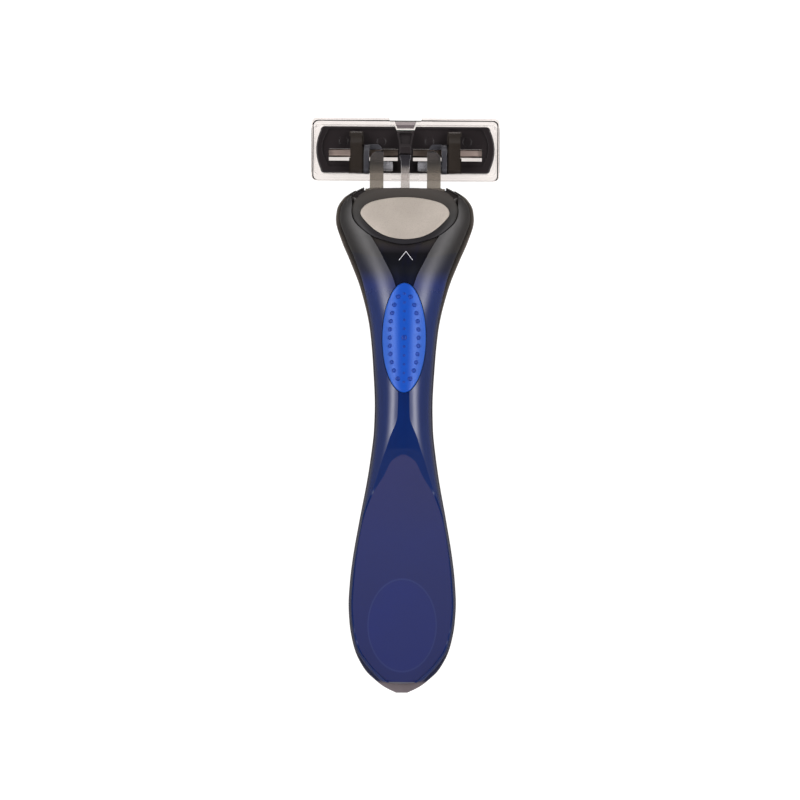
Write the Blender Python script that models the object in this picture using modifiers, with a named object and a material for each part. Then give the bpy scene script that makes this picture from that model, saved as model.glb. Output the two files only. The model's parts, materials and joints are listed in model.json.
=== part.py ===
"""Cartridge razor with a clear blade guard, lying thumb side up with the guard's face on the table.

Every length below is in millimetres and is turned into metres when a mesh is made.
X runs across the razor, Y along it with the cartridge at +Y, and Z is up. The origin is under
the middle of the razor's bounding box, on the table.
"""
import math

import bmesh
import bpy
from mathutils import Matrix, Vector

MM = 0.001
GAP = 0.3  # clearance that neighbouring pieces keep

# Handle, as rows of: Y, half width, underside height, crest height of the top.
HANDLE_ROWS = (
    (51.0, 10.1, 4.7, 12.7),
    (50.4, 11.3, 4.6, 12.8),
    (49.7, 12.6, 4.5, 13.0),
    (48.3, 14.5, 4.4, 13.3),
    (45.7, 15.95, 4.3, 13.9),
    (43.3, 16.2, 4.3, 14.4),
    (38.6, 14.9, 4.5, 15.4),
    (33.9, 12.9, 5.0, 16.5),
    (26.9, 10.2, 6.3, 18.0),
    (17.5, 8.0, 7.7, 19.4),
    (9.0, 7.2, 8.2, 19.9),
    (-0.5, 6.75, 8.1, 19.9),
    (-5.9, 6.9, 7.6, 19.6),
    (-11.5, 7.5, 6.9, 19.0),
    (-17.6, 8.4, 5.8, 17.9),
    (-27.0, 10.15, 3.9, 15.6),
    (-36.4, 11.75, 2.0, 13.2),
    (-41.6, 12.35, 1.2, 11.9),
    (-47.0, 12.65, 0.5, 10.5),
    (-51.5, 12.4, 0.15, 9.35),
    (-55.0, 11.85, 0.0, 8.5),
    (-58.45, 10.9, 0.05, 7.65),
    (-61.85, 9.15, 0.2, 6.8),
    (-63.25, 8.1, 0.3, 6.35),
    (-64.65, 6.6, 0.45, 5.95),
    (-65.55, 5.55, 0.6, 5.65),
    (-66.55, 4.15, 0.8, 5.3),
    (-67.45, 2.4, 1.1, 4.8),
    (-67.95, 1.3, 1.6, 4.2),
)
PARTING = 0.45  # height of the parting line, as a share of the thickness
UPPER_END_Y = -65.7  # the upper shell stops short of the butt's tip

# Upper shell, as rows of: Y, inset from the silhouette, roundness exponent of the section,
# half width of the flat tail facet, half width of the valley between the two ridges.
TOP_ROWS = (
    (51.0, 1.2, 2.6, 0.3, 12.6),
    (44.0, 1.3, 2.6, 0.3, 12.2),
    (40.3, 1.8, 2.5, 0.3, 8.7),
    (36.3, 1.8, 2.4, 0.3, 6.1),
    (33.0, 1.6, 2.3, 0.3, 4.4),
    (30.0, 1.4, 2.2, 0.3, 2.9),
    (26.5, 1.0, 2.2, 0.3, 1.9),
    (22.0, 0.6, 2.2, 0.3, 1.6),
    (15.0, 0.3, 2.2, 0.3, 1.5),
    (2.9, 0.3, 2.2, 0.3, 1.3),
    (-2.4, 0.3, 2.3, 0.3, 1.4),
    (-7.6, 0.3, 2.4, 0.3, 3.2),
    (-11.3, 0.3, 2.6, 0.4, 4.4),
    (-12.8, 0.3, 2.7, 2.6, 4.9),
    (-16.5, 0.3, 3.0, 4.5, 6.0),
    (-20.3, 0.3, 3.6, 6.8, 7.3),
    (-23.1, 0.3, 4.3, 8.0, 8.4),
    (-26.8, 0.3, 6.0, 9.2, 9.5),
    (-36.4, 0.3, 6.0, 10.8, 11.1),
    (-41.6, 0.3, 6.0, 11.3, 11.6),
    (-47.0, 0.3, 6.0, 11.6, 11.9),
    (-51.5, 0.3, 6.0, 11.3, 11.6),
    (-54.8, 0.3, 6.0, 10.7, 11.0),
    (-58.1, 0.3, 5.5, 9.6, 9.9),
    (-61.4, 0.3, 4.5, 7.7, 8.0),
    (-62.8, 0.3, 4.0, 6.5, 6.9),
    (-64.2, 0.3, 4.0, 4.9, 5.3),
    (-65.1, 0.3, 4.0, 3.7, 4.2),
    (-65.7, 0.3, 4.0, 2.9, 3.4),
)
FACET_START = (-11.3, 18.3)  # Y and height where the tail facet begins
FACET_SLOPE = 0.246  # fall of the facet per millimetre towards the butt

CORE_START_Y = 32.6
CORE_END_Y = -63.4
CORE_WALL = 1.9  # shell left around the core

# Head cavity that holds the yoke, the plunger and the ejector, as blocks of:
# half width, back end in Y, front end in Y, floor height, roof height.
CAVITY_BLOCKS = (
    (7.8, 33.2, 41.0, 6.9, 10.7),
    (11.6, 36.3, 55.0, 7.2, 9.5),
    (9.6, 40.0, 55.0, 6.0, 10.7),
)

# Pivot of the cartridge.
PIVOT_Y = 56.0
PIVOT_Z = 8.1
PIN_RADIUS = 1.15
NOSE_RADIUS = 3.6
NOSE_FLAT = 0.9  # how far past the pivot the arm's underside runs before it turns up
ARM_INNER, ARM_OUTER = 5.1, 8.3
ARM_BOTTOM, ARM_TOP = 6.3, 10.1

# Cartridge frame and protective cap.
FRAME_BOTTOM, FRAME_TOP = 1.5, 6.0
FRAME_NEAR_Y, FRAME_FAR_Y = 54.5, 65.5
FRAME_CORNER_X, FRAME_HALF = 19.7, 21.0
RECESS_Z = 5.5
PLATE_BOTTOM = 4.6
CAP_HALF, CAP_NEAR_Y, CAP_FAR_Y, CAP_HEIGHT = 22.2, 52.6, 67.5, 6.0

# Release button: plan of its right half and of its badge's, and the height of its underside.
BUTTON_CENTRE = (0.0, 44.5)
BUTTON_HALF = [
    (0.0, 50.7),
    (6.5, 50.45),
    (10.2, 49.4),
    (12.2, 46.6),
    (12.1, 43.6),
    (10.2, 41.2),
    (6.6, 38.9),
    (0.0, 37.4),
]
BADGE_HALF = [
    (0.0, 48.5),
    (5.0, 48.05),
    (8.8, 46.9),
    (10.4, 44.9),
    (9.3, 42.9),
    (6.6, 40.5),
    (3.6, 39.1),
    (0.0, 38.6),
]
BADGE_DEPTH = 0.35
BUTTON_BOTTOM = 11.9
BOTTOM_FLAT_X = 8.5  # the underside slopes down outside this, at the slope below
BOTTOM_SLOPE = 0.3
BUTTON_SWEEP = 4.9  # how far forwards the recess runs, for the button's travel

GRIP_CENTRE_Y, GRIP_HALF_X, GRIP_HALF_Y = 15.6, 5.2, 12.75

PARTS = "cartridge_razor"
CUTTERS = "cutters"


def clear_scene():
    for obj in list(bpy.data.objects):
        bpy.data.objects.remove(obj, do_unlink=True)
    for name in (PARTS, CUTTERS):
        collection = bpy.data.collections.new(name)
        bpy.context.scene.collection.children.link(collection)


def plastic(name, colour, roughness=0.3, metallic=0.0, transmission=0.0):
    material = bpy.data.materials.new(name)
    material.use_nodes = True
    shader = material.node_tree.nodes["Principled BSDF"]
    shader.inputs["Base Color"].default_value = (*colour, 1.0)
    shader.inputs["Roughness"].default_value = roughness
    shader.inputs["Metallic"].default_value = metallic
    shader.inputs["Transmission Weight"].default_value = transmission
    return material


def finish(name, bm, collection=PARTS, smooth_angle=None):
    """Turns a bmesh in millimetres into an object in metres."""
    bmesh.ops.recalc_face_normals(bm, faces=bm.faces)
    bm.transform(Matrix.Scale(MM, 4))
    mesh = bpy.data.meshes.new(name)
    bm.to_mesh(mesh)
    bm.free()
    if smooth_angle is not None:
        mesh.shade_smooth()
        mesh.set_sharp_from_angle(angle=math.radians(smooth_angle))
    obj = bpy.data.objects.new(name, mesh)
    bpy.data.collections[collection].objects.link(obj)
    if collection == CUTTERS:
        obj.hide_render = True
        obj.display_type = "WIRE"
    return obj


def place(obj, material, origin=(0.0, 0.0, 0.0)):
    """Gives the piece its material and moves its origin to a point given in millimetres."""
    point = Vector(origin) * MM
    obj.data.materials.clear()
    obj.data.materials.append(material)
    obj.data.transform(Matrix.Translation(-point))
    obj.location = point
    return obj


def boolean(obj, other, operation):
    modifier = obj.modifiers.new(operation.lower(), "BOOLEAN")
    modifier.operation = operation
    modifier.object = other
    modifier.solver = "EXACT"
    return obj


def cut(obj, *cutters):
    for cutter in cutters:
        boolean(obj, cutter, "DIFFERENCE")
    return obj


def join(obj, *others):
    for other in others:
        boolean(obj, other, "UNION")
    return obj


def bevel(obj, width, segments=2, angle=35):
    modifier = obj.modifiers.new("bevel", "BEVEL")
    modifier.width = width * MM
    modifier.segments = segments
    modifier.limit_method = "ANGLE"
    modifier.angle_limit = math.radians(angle)
    return obj


def block(name, low, high, collection=PARTS):
    """A box between two corners."""
    low, high = Vector(low), Vector(high)
    size = high - low
    bm = bmesh.new()
    matrix = Matrix.Translation((low + high) / 2) @ Matrix.Diagonal((*size, 1.0))
    bmesh.ops.create_cube(bm, size=1.0, matrix=matrix)
    return finish(name, bm, collection)


def rod(name, radius, start_x, end_x, y, z, collection=PARTS, segments=24):
    """A round rod along X."""
    length = abs(end_x - start_x)
    middle = Vector(((start_x + end_x) / 2, y, z))
    matrix = Matrix.Translation(middle) @ Matrix.Rotation(math.pi / 2, 4, "Y")
    bm = bmesh.new()
    bmesh.ops.create_cone(
        bm, cap_ends=True, segments=segments, radius1=radius, radius2=radius, depth=length, matrix=matrix
    )
    return finish(name, bm, collection, smooth_angle=40)


def prism(name, outline, across, low, high, collection=PARTS, smooth_angle=None):
    """A flat outline extruded along one axis, between two heights on it."""
    index = "XYZ".index(across)
    bm = bmesh.new()
    verts = []
    for a, b in outline:
        point = [a, b]
        point.insert(index, low)
        verts.append(bm.verts.new(point))
    face = bm.faces.new(verts)
    raised = bmesh.ops.extrude_face_region(bm, geom=[face])["geom"]
    shift = Vector((0, 0, 0))
    shift[index] = high - low
    bmesh.ops.translate(bm, vec=shift, verts=[v for v in raised if isinstance(v, bmesh.types.BMVert)])
    return finish(name, bm, collection, smooth_angle)


def loft(name, rings, collection=PARTS, smooth_angle=30):
    """A closed solid through rings of equally many points, closed by a face at each end."""
    bm = bmesh.new()
    rows = [[bm.verts.new(point) for point in ring] for ring in rings]
    count = len(rows[0])
    for row, following in zip(rows, rows[1:]):
        for i in range(count):
            j = (i + 1) % count
            bm.faces.new((row[i], row[j], following[j], following[i]))
    bm.faces.new(rows[0])
    bm.faces.new(list(reversed(rows[-1])))
    return finish(name, bm, collection, smooth_angle)


def arc(centre_a, centre_b, radius, start, end, count):
    """Points on an arc in a flat outline, between two angles in degrees."""
    points = []
    for i in range(count + 1):
        angle = math.radians(start + (end - start) * i / count)
        points.append((centre_a + radius * math.cos(angle), centre_b + radius * math.sin(angle)))
    return points


def rounded_rectangle(left, near, right, far, radius, count=4):
    points = []
    points += arc(right - radius, far - radius, radius, 0, 90, count)
    points += arc(left + radius, far - radius, radius, 90, 180, count)
    points += arc(left + radius, near + radius, radius, 180, 270, count)
    points += arc(right - radius, near + radius, radius, 270, 360, count)
    return points


def barrel(half, corner, near, far, radius, count=8):
    """A rectangle whose two short ends bulge outwards, with small round corners."""
    middle, reach = (near + far) / 2, (far - near) / 2 - radius
    end = []
    for i in range(count + 1):
        t = -1 + 2 * i / count
        end.append((half - (half - corner - radius * 0.3) * t * t, middle + reach * t))
    top = arc(corner - radius * 0.7, far - radius, radius, 20, 90, 3)
    bottom = arc(corner - radius * 0.7, near + radius, radius, -90, -20, 3)
    right = bottom + end + top
    left = [(-x, y) for x, y in reversed(right)]
    return right + left


def row_values(rows, y):
    """Values between the rows of a table, on a curve that never overshoots a row."""
    if y >= rows[0][0]:
        return rows[0][1:]
    if y <= rows[-1][0]:
        return rows[-1][1:]
    k = next(i for i in range(len(rows) - 1) if rows[i + 1][0] <= y)
    values = []
    for column in range(1, len(rows[0])):

        def slope(i):
            if i < 0 or i + 1 >= len(rows):
                return None
            return (rows[i + 1][column] - rows[i][column]) / (rows[i + 1][0] - rows[i][0])

        def tangent(i):
            before, after = slope(i - 1), slope(i)
            if before is None or after is None:
                return after if before is None else before
            if before * after <= 0:
                return 0.0
            return 2 * before * after / (before + after)

        width = rows[k + 1][0] - rows[k][0]
        t = (y - rows[k][0]) / width
        p0, p1 = rows[k][column], rows[k + 1][column]
        m0, m1 = tangent(k) * width, tangent(k + 1) * width
        values.append(
            (2 * t**3 - 3 * t**2 + 1) * p0
            + (t**3 - 2 * t**2 + t) * m0
            + (3 * t**2 - 2 * t**3) * p1
            + (t**3 - t**2) * m1
        )
    return values


def stations(start, end, step):
    """Y positions from start down to end: every row of the handle's table and steps between."""
    marks = sorted({start, end} | {r[0] for r in HANDLE_ROWS if end < r[0] < start}, reverse=True)
    result = []
    for high, low in zip(marks, marks[1:]):
        count = max(1, math.ceil((high - low) / step))
        result += [high + (low - high) * i / count for i in range(count)]
    return result + [end]


def parting_height(y):
    half, bottom, crest = row_values(HANDLE_ROWS, y)
    return bottom + PARTING * (crest - bottom)


def dome_height(x, y):
    """The rounded top of the handle, before the valley and the facet are taken off."""
    half, bottom, crest = row_values(HANDLE_ROWS, y)
    inset, power, facet, valley = row_values(TOP_ROWS, y)
    share = min(abs(x) / (half - inset), 1.0)
    parting = parting_height(y)
    return parting + (crest - parting) * (1 - share**power) ** (1 / power)


def facet_height(y):
    start_y, start_z = FACET_START
    return start_z - FACET_SLOPE * (start_y - y)


def upper_ring(y, segments=7):
    """Section of the upper shell: rounded ridges, the valley between them and the tail facet."""
    half, bottom, crest = row_values(HANDLE_ROWS, y)
    inset, power, facet, valley = row_values(TOP_ROWS, y)
    width = half - inset
    valley = min(valley, width - 0.4)
    parting = parting_height(y)
    edge_z = dome_height(valley, y)
    if y > FACET_START[0]:
        middle_z = edge_z + 0.35 * (crest - edge_z) if y < 20 else edge_z - 0.4
    else:
        middle_z = facet_height(y)
    start = math.asin((valley / width) ** (power / 2))
    side = [(facet, middle_z), ((facet + valley) / 2, (middle_z + edge_z) / 2 + 0.02), (valley, edge_z)]
    for i in range(1, segments + 1):
        t = start + (math.pi / 2 - start) * i / segments
        x = width * math.sin(t) ** (2 / power)
        z = parting + (crest - parting) * max(math.cos(t), 0.0) ** (2 / power)
        side.append((x, z))
    side[-1] = (width, parting + GAP / 2)
    points = [(-x, z) for x, z in reversed(side)] + [(0.0, middle_z)] + side
    return [(x, y, z) for x, z in points]


def lower_ring(y, segments=14):
    """Section of the lower shell: the rounded underside, flat at the parting line."""
    half, bottom, crest = row_values(HANDLE_ROWS, y)
    parting = parting_height(y) - GAP / 2
    ring = []
    for i in range(segments + 1):
        t = math.pi * i / segments
        x = -half * math.copysign(abs(math.cos(t)) ** 0.85, math.cos(t))
        ring.append((x, y, parting - (parting - bottom) * math.sin(t) ** 0.85))
    return ring


def core_ring(y, grow, segments=20):
    """Section of the inner core, grown on all sides to make the space that it lies in."""
    half, bottom, crest = row_values(HANDLE_ROWS, y)
    parting = parting_height(y)
    top = parting + 0.84 * (crest - parting) - 1.3 + grow
    low = bottom + CORE_WALL - grow
    width = half - CORE_WALL - 0.5 + grow
    middle, reach = (top + low) / 2, (top - low) / 2
    ring = []
    for i in range(segments):
        t = 2 * math.pi * i / segments
        c, s = math.cos(t), math.sin(t)
        x = width * math.copysign(abs(c) ** 0.8, c)
        z = middle + reach * math.copysign(abs(s) ** 0.8, s)
        ring.append((x, y, z))
    return ring


def patch(name, outline, centre, top, bottom, collection=PARTS, rings=4, smooth_angle=40):
    """A closed slab over an outline in plan, with a top and a bottom given as height functions."""
    bm = bmesh.new()
    count = len(outline)

    def sheet(height):
        middle = bm.verts.new((centre[0], centre[1], height(*centre)))
        rows = []
        for r in range(1, rings + 1):
            share = r / rings
            row = []
            for x, y in outline:
                px = centre[0] + (x - centre[0]) * share
                py = centre[1] + (y - centre[1]) * share
                row.append(bm.verts.new((px, py, height(px, py))))
            rows.append(row)
        for i in range(count):
            j = (i + 1) % count
            bm.faces.new((middle, rows[0][i], rows[0][j]))
            for inner, outer in zip(rows, rows[1:]):
                bm.faces.new((inner[i], outer[i], outer[j], inner[j]))
        return rows[-1]

    upper, lower = sheet(top), sheet(bottom)
    for i in range(count):
        j = (i + 1) % count
        bm.faces.new((upper[i], lower[i], lower[j], upper[j]))
    return finish(name, bm, collection, smooth_angle)


def smooth_outline(half_points, steps=4):
    """A closed outline symmetric about X = 0, through points given for its right side."""
    left = [(-x, y) for x, y in reversed(half_points) if x > 0.01]
    points = half_points + left
    count = len(points)
    outline = []
    for i in range(count):
        p0, p1, p2, p3 = (Vector(points[(i + k) % count]) for k in (-1, 0, 1, 2))
        for s in range(steps):
            t = s / steps
            spot = 0.5 * (
                2 * p1
                + (p2 - p0) * t
                + (2 * p0 - 5 * p1 + 4 * p2 - p3) * t**2
                + (3 * p1 - p0 - 3 * p2 + p3) * t**3
            )
            outline.append((spot.x, spot.y))
    return outline


def grown(outline, centre, amount):
    """The outline moved outwards from its centre by about the given amount."""
    points = []
    for x, y in outline:
        away = Vector((x - centre[0], y - centre[1]))
        away = away * (1 + amount / away.length)
        points.append((centre[0] + away.x, centre[1] + away.y))
    return points


def button_top(x, y):
    return dome_height(x, min(y, 50.5)) + 0.1


def button_bottom(x, y):
    return BUTTON_BOTTOM - BOTTOM_SLOPE * max(0.0, abs(x) - BOTTOM_FLAT_X)


def swept(outline, middle_y):
    """The outline with its part in front of middle_y moved forwards by the button's travel."""
    return [(x, y + BUTTON_SWEEP if y > middle_y else y) for x, y in outline]


def grip_outline(grow=0.0, count=36):
    points = []
    for i in range(count):
        t = 2 * math.pi * i / count
        x = (GRIP_HALF_X + grow) * math.cos(t)
        y = GRIP_CENTRE_Y + (GRIP_HALF_Y + grow) * math.sin(t)
        points.append((x, y))
    return points


def grip_height(x, y):
    share = (x / GRIP_HALF_X) ** 2 + ((y - GRIP_CENTRE_Y) / GRIP_HALF_Y) ** 2
    return dome_height(x, y) + 0.5 * max(0.0, 1 - share)


def handle_pieces(smoke, blue, rubber):
    core = loft("handle_core", [core_ring(y, 0.0) for y in stations(CORE_START_Y, CORE_END_Y, 6.0)])
    hollow = loft(
        "core_space",
        [core_ring(y, GAP) for y in stations(CORE_START_Y + GAP, CORE_END_Y - GAP, 6.0)],
        CUTTERS,
    )
    cavity = [
        block(f"head_cavity_{number}", (-half, back, floor), (half, front, roof), CUTTERS)
        for number, (half, back, front, floor, roof) in enumerate(CAVITY_BLOCKS, 1)
    ]
    recess = patch(
        "button_recess",
        swept(grown(smooth_outline(BUTTON_HALF), BUTTON_CENTRE, GAP), 46.5),
        BUTTON_CENTRE,
        lambda x, y: 20.0,
        lambda x, y: button_bottom(x, y) - GAP,
        CUTTERS,
        rings=6,
    )
    post_slot = block("button_post_slot", (-1.8, 37.6, 10.0), (1.8, 44.1, 12.0), CUTTERS)
    seat = patch(
        "grip_seat",
        grip_outline(GAP),
        (0.0, GRIP_CENTRE_Y),
        lambda x, y: 24.0,
        lambda x, y: dome_height(x, y) - 1.5,
        CUTTERS,
        rings=3,
    )

    lower = loft("handle_lower_shell", [lower_ring(y) for y in stations(HANDLE_ROWS[0][0], HANDLE_ROWS[-1][0], 5.0)])
    cut(lower, hollow, *cavity)
    upper = loft("handle_upper_shell", [upper_ring(y) for y in stations(50.9, UPPER_END_Y, 4.0)])
    cut(upper, hollow, *cavity, recess, post_slot, seat)
    grip = patch(
        "grip_insert",
        grip_outline(),
        (0.0, GRIP_CENTRE_Y),
        grip_height,
        lambda x, y: dome_height(x, y) - 1.2,
        rings=5,
    )
    place(lower, smoke)
    place(upper, smoke)
    place(core, blue)
    place(grip, rubber, (0.0, GRIP_CENTRE_Y, 19.0))


def yoke_piece(smoke):
    """Two arms on a base block, with a channel for the plunger and its spring."""
    nose = arc(PIVOT_Y, PIVOT_Z, NOSE_RADIUS, -4.8, 33.7, 5)
    profile = [(46.0, ARM_BOTTOM), (PIVOT_Y + NOSE_FLAT, ARM_BOTTOM)] + nose + [(46.0, ARM_TOP)]
    base = block("yoke", (-9.3, 43.0, 6.5), (9.3, 50.6, 10.4))
    for side in (-1, 1):
        label = "left" if side < 0 else "right"
        low, high = sorted((side * ARM_INNER, side * ARM_OUTER))
        join(base, prism(f"yoke_arm_{label}", profile, "X", low, high, CUTTERS))
    for side in (-1, 1):
        label = "left" if side < 0 else "right"
        bore = rod(
            f"yoke_bore_{label}", PIN_RADIUS + GAP, side * 4.5, side * 9.0, PIVOT_Y, PIVOT_Z, CUTTERS
        )
        cut(base, bore)
    channel = block("plunger_channel", (-2.3, 43.9, 8.0), (2.3, 49.0, 11.0), CUTTERS)
    mouth = block("plunger_mouth", (-1.45, 48.0, 8.0), (1.45, 52.0, 11.0), CUTTERS)
    notch = block("ejector_notch", (-2.9, 42.0, 9.5), (2.9, 44.1, 11.0), CUTTERS)
    cut(base, channel, mouth, notch)
    place(base, smoke)


def coil(name, start_y, end_y, z, radius, wire, turns, material, points_per_turn=10):
    """A coil spring along Y."""
    count = turns * points_per_turn
    curve = bpy.data.curves.new(name, "CURVE")
    curve.dimensions = "3D"
    curve.bevel_depth = wire / 2 * MM
    curve.bevel_resolution = 1
    curve.use_fill_caps = True
    spline = curve.splines.new("POLY")
    spline.points.add(count)
    first, last = start_y + wire / 2, end_y - wire / 2
    for i in range(count + 1):
        angle = 2 * math.pi * i / points_per_turn
        y = first + (last - first) * i / count
        x, height = radius * math.cos(angle), z + radius * math.sin(angle)
        spline.points[i].co = (x * MM, (y - start_y) * MM, height * MM, 1.0)
    curve.materials.append(material)
    obj = bpy.data.objects.new(name, curve)
    obj.location = (0.0, start_y * MM, 0.0)
    bpy.data.collections[PARTS].objects.link(obj)


def plunger_pieces(clear, steel):
    stem = block("plunger", (-1.1, 47.4, 8.3), (1.1, 58.6, 10.1))
    head = block("plunger_head", (-1.4, 57.6, 8.3), (1.4, 58.6, 10.1), CUTTERS)
    collar = block("plunger_collar", (-2.0, 47.4, 8.3), (2.0, 48.7, 10.3), CUTTERS)
    join(stem, head, collar)
    place(stem, clear, (0.0, 58.6, 9.2))
    coil("plunger_spring", 44.2, 47.1, 9.3, 0.95, 0.35, 5, steel)


def button_pieces(smoke, silver, steel, dark):
    outline = smooth_outline(BUTTON_HALF)
    button = patch("release_button", outline, BUTTON_CENTRE, button_top, button_bottom, rings=6)
    pocket = patch(
        "badge_pocket",
        grown(smooth_outline(BADGE_HALF), BUTTON_CENTRE, GAP),
        BUTTON_CENTRE,
        lambda x, y: 20.0,
        lambda x, y: button_top(x, y) - BADGE_DEPTH - GAP,
        CUTTERS,
        rings=4,
    )
    cut(button, pocket)
    badge = patch(
        "button_badge",
        smooth_outline(BADGE_HALF),
        BUTTON_CENTRE,
        lambda x, y: button_top(x, y) + 0.15,
        lambda x, y: button_top(x, y) - BADGE_DEPTH,
        rings=5,
    )
    fork = block("ejector_fork", (-7.4, 33.6, 7.3), (7.4, 35.1, 10.4))
    tongue = block("ejector_tongue", (-2.6, 34.5, 9.8), (2.6, 39.4, 10.4), CUTTERS)
    post = block("ejector_post", (-1.5, 37.9, 10.0), (1.5, 39.4, 11.6), CUTTERS)
    join(fork, tongue, post)
    for side in (-1, 1):
        label = "left" if side < 0 else "right"
        for piece, inner, outer, back, front in (
            ("rail", 6.0, 7.4, 34.5, 38.2),
            ("shoulder", 6.2, 11.3, 36.7, 38.2),
            ("prong", 9.9, 11.3, 37.0, 49.4),
        ):
            low, high = sorted((side * inner, side * outer))
            bottom = 7.4 if piece == "rail" else 7.5
            top = 9.2 if piece == "rail" else 9.1
            join(fork, block(f"ejector_{piece}_{label}", (low, back, bottom), (high, front, top), CUTTERS))
    place(button, smoke, (*BUTTON_CENTRE, 12.0))
    place(badge, silver, (*BUTTON_CENTRE, 12.0))
    place(fork, dark, (0.0, 34.4, 8.0))
    coil("button_spring", 35.4, 42.7, 8.3, 1.0, 0.35, 7, steel)


def journal(side, clear):
    """The half shell that swings on the arm's pin hole and carries one side of the cartridge."""
    label = "left" if side < 0 else "right"
    ear_profile = [
        (54.1, 6.3),
        (61.2, 6.3),
        (61.2, 7.3),
        (60.2, 8.6),
        (58.2, 9.6),
        (55.2, 9.6),
        (54.1, 8.6),
    ]
    low, high = sorted((side * 8.6, side * 9.5))
    piece = prism(f"journal_{label}", ear_profile, "X", low, high)
    pin = rod(f"journal_pin_{label}", PIN_RADIUS, side * 2.9, side * 8.9, PIVOT_Y, PIVOT_Z, CUTTERS)
    low, high = sorted((side * 5.6, side * 8.8))
    leg = block(f"journal_leg_{label}", (low, 59.9, 6.3), (high, 61.2, 7.3), CUTTERS)
    low, high = sorted((side * 9.3, side * 11.2))
    tongue = block(f"journal_tongue_{label}", (low, 55.0, 6.9), (high, 60.0, 8.3), CUTTERS)
    join(piece, pin, leg, tongue)
    place(piece, clear, (0.0, PIVOT_Y, PIVOT_Z))


def bracket(side, black):
    """The raised bracket on the cartridge, whose slot takes the journal's tongue."""
    label = "left" if side < 0 else "right"
    profile = [
        (54.3, 6.3),
        (56.3, 6.3),
        (56.3, 5.8),
        (64.2, 5.8),
        (64.2, 7.0),
        (63.2, 8.2),
        (60.6, 9.8),
        (55.0, 9.8),
        (54.3, 9.1),
    ]
    low, high = sorted((side * 9.8, side * 13.2))
    piece = prism(f"bearing_bracket_{label}", profile, "X", low, high)
    low, high = sorted((side * 9.6, side * 11.5))
    slot = block(f"bracket_slot_{label}", (low, 54.0, 6.6), (high, 60.3, 8.6), CUTTERS)
    cut(piece, slot)
    place(piece, black, (0.0, PIVOT_Y, PIVOT_Z))


def cartridge_frame(black):
    outline = barrel(FRAME_HALF, FRAME_CORNER_X, FRAME_NEAR_Y, FRAME_FAR_Y, 1.0)
    frame = prism("cartridge_frame", outline, "Z", FRAME_BOTTOM, FRAME_TOP)
    inner = barrel(FRAME_HALF - 1.4, FRAME_CORNER_X - 1.5, FRAME_NEAR_Y + 1.6, FRAME_FAR_Y - 0.6, 0.8)
    recess = prism("frame_recess", inner, "Z", RECESS_Z, 8.0, CUTTERS)
    blades = block("blade_space", (-18.6, 57.2, 0.0), (18.6, 63.6, PLATE_BOTTOM), CUTTERS)
    guard = block("guard_space", (-18.9, 54.9, 0.0), (18.9, 56.6, 3.2), CUTTERS)
    strip = block("strip_space", (-18.9, 63.9, 0.0), (18.9, 65.2, 3.0), CUTTERS)
    hook = block("hook_space", (-3.0, 64.6, 0.0), (3.0, 67.0, 8.0), CUTTERS)
    cut(frame, recess, blades, guard, strip, hook)
    for side in (-1, 1):
        label = "left" if side < 0 else "right"
        for where, start, end in (("inner", 1.8, 8.6), ("outer", 12.8, 18.0)):
            low, high = sorted((side * start, side * end))
            cut(frame, block(f"window_{where}_{label}", (low, 57.4, 4.0), (high, 60.4, 8.0), CUTTERS))
    place(frame, black, (0.0, PIVOT_Y, PIVOT_Z))


def blade_pack(steel, support_steel):
    """Three blades, each lying at a slant on its own bent support strip."""
    slant = math.radians(30)
    pitch = 1.68
    strip, flange_top = 0.3, 4.3
    along = Vector((math.cos(slant), math.sin(slant)))
    up = Vector((-math.sin(slant), math.cos(slant)))
    half = 18.2
    for number in range(1, 4):
        edge = Vector((58.45 + pitch * (number - 1), 1.35))
        back = edge + along * 1.45
        outline = [edge, back, back + up * 0.2, edge + along * 0.35 + up * 0.2]
        blade = prism(f"blade_{number}", [tuple(p) for p in outline], "X", -half, half)
        place(blade, steel, (0.0, edge.x, edge.y))
        foot = edge + along * 0.45 + up * (0.2 + GAP)
        bend = foot + along * 0.85
        profile = [
            foot,
            bend,
            Vector((bend.x, flange_top - strip)),
            Vector((bend.x + 0.67, flange_top - strip)),
            Vector((bend.x + 0.67, flange_top)),
            Vector((bend.x - 0.63, flange_top)),
            Vector((bend.x - 0.63, flange_top - strip)),
            Vector((bend.x - strip, flange_top - strip)),
            Vector((bend.x - strip, bend.y + 0.15)),
            foot + up * strip,
        ]
        support = prism(f"blade_support_{number}", [tuple(p) for p in profile], "X", -half, half)
        place(support, support_steel, (0.0, bend.x, bend.y))


def cartridge_pieces(black, rubber, strip_material, steel, support_steel):
    cartridge_frame(black)
    for side in (-1, 1):
        bracket(side, black)
    cam = loft(
        "centre_cam",
        [
            [(-1.4, 58.9, 5.8), (1.4, 58.9, 5.8), (1.4, 58.9, 10.3), (-1.4, 58.9, 10.3)],
            [(-1.4, 60.7, 5.8), (1.4, 60.7, 5.8), (1.4, 60.7, 10.1), (-1.4, 60.7, 10.1)],
            [(-2.1, 64.3, 5.8), (2.1, 64.3, 5.8), (2.1, 64.3, 7.2), (-2.1, 64.3, 7.2)],
        ],
        smooth_angle=None,
    )
    place(cam, black, (0.0, PIVOT_Y, PIVOT_Z))
    blade_pack(steel, support_steel)
    guard = block("guard_bar", (-18.6, 55.2, 1.3), (18.6, 56.3, 2.9))
    place(guard, rubber, (0.0, 55.7, 1.3))
    strip = bevel(block("lubricating_strip", (-18.6, 64.2, 1.3), (18.6, 64.9, 2.7)), 0.15)
    place(strip, strip_material, (0.0, 64.5, 1.3))


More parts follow.
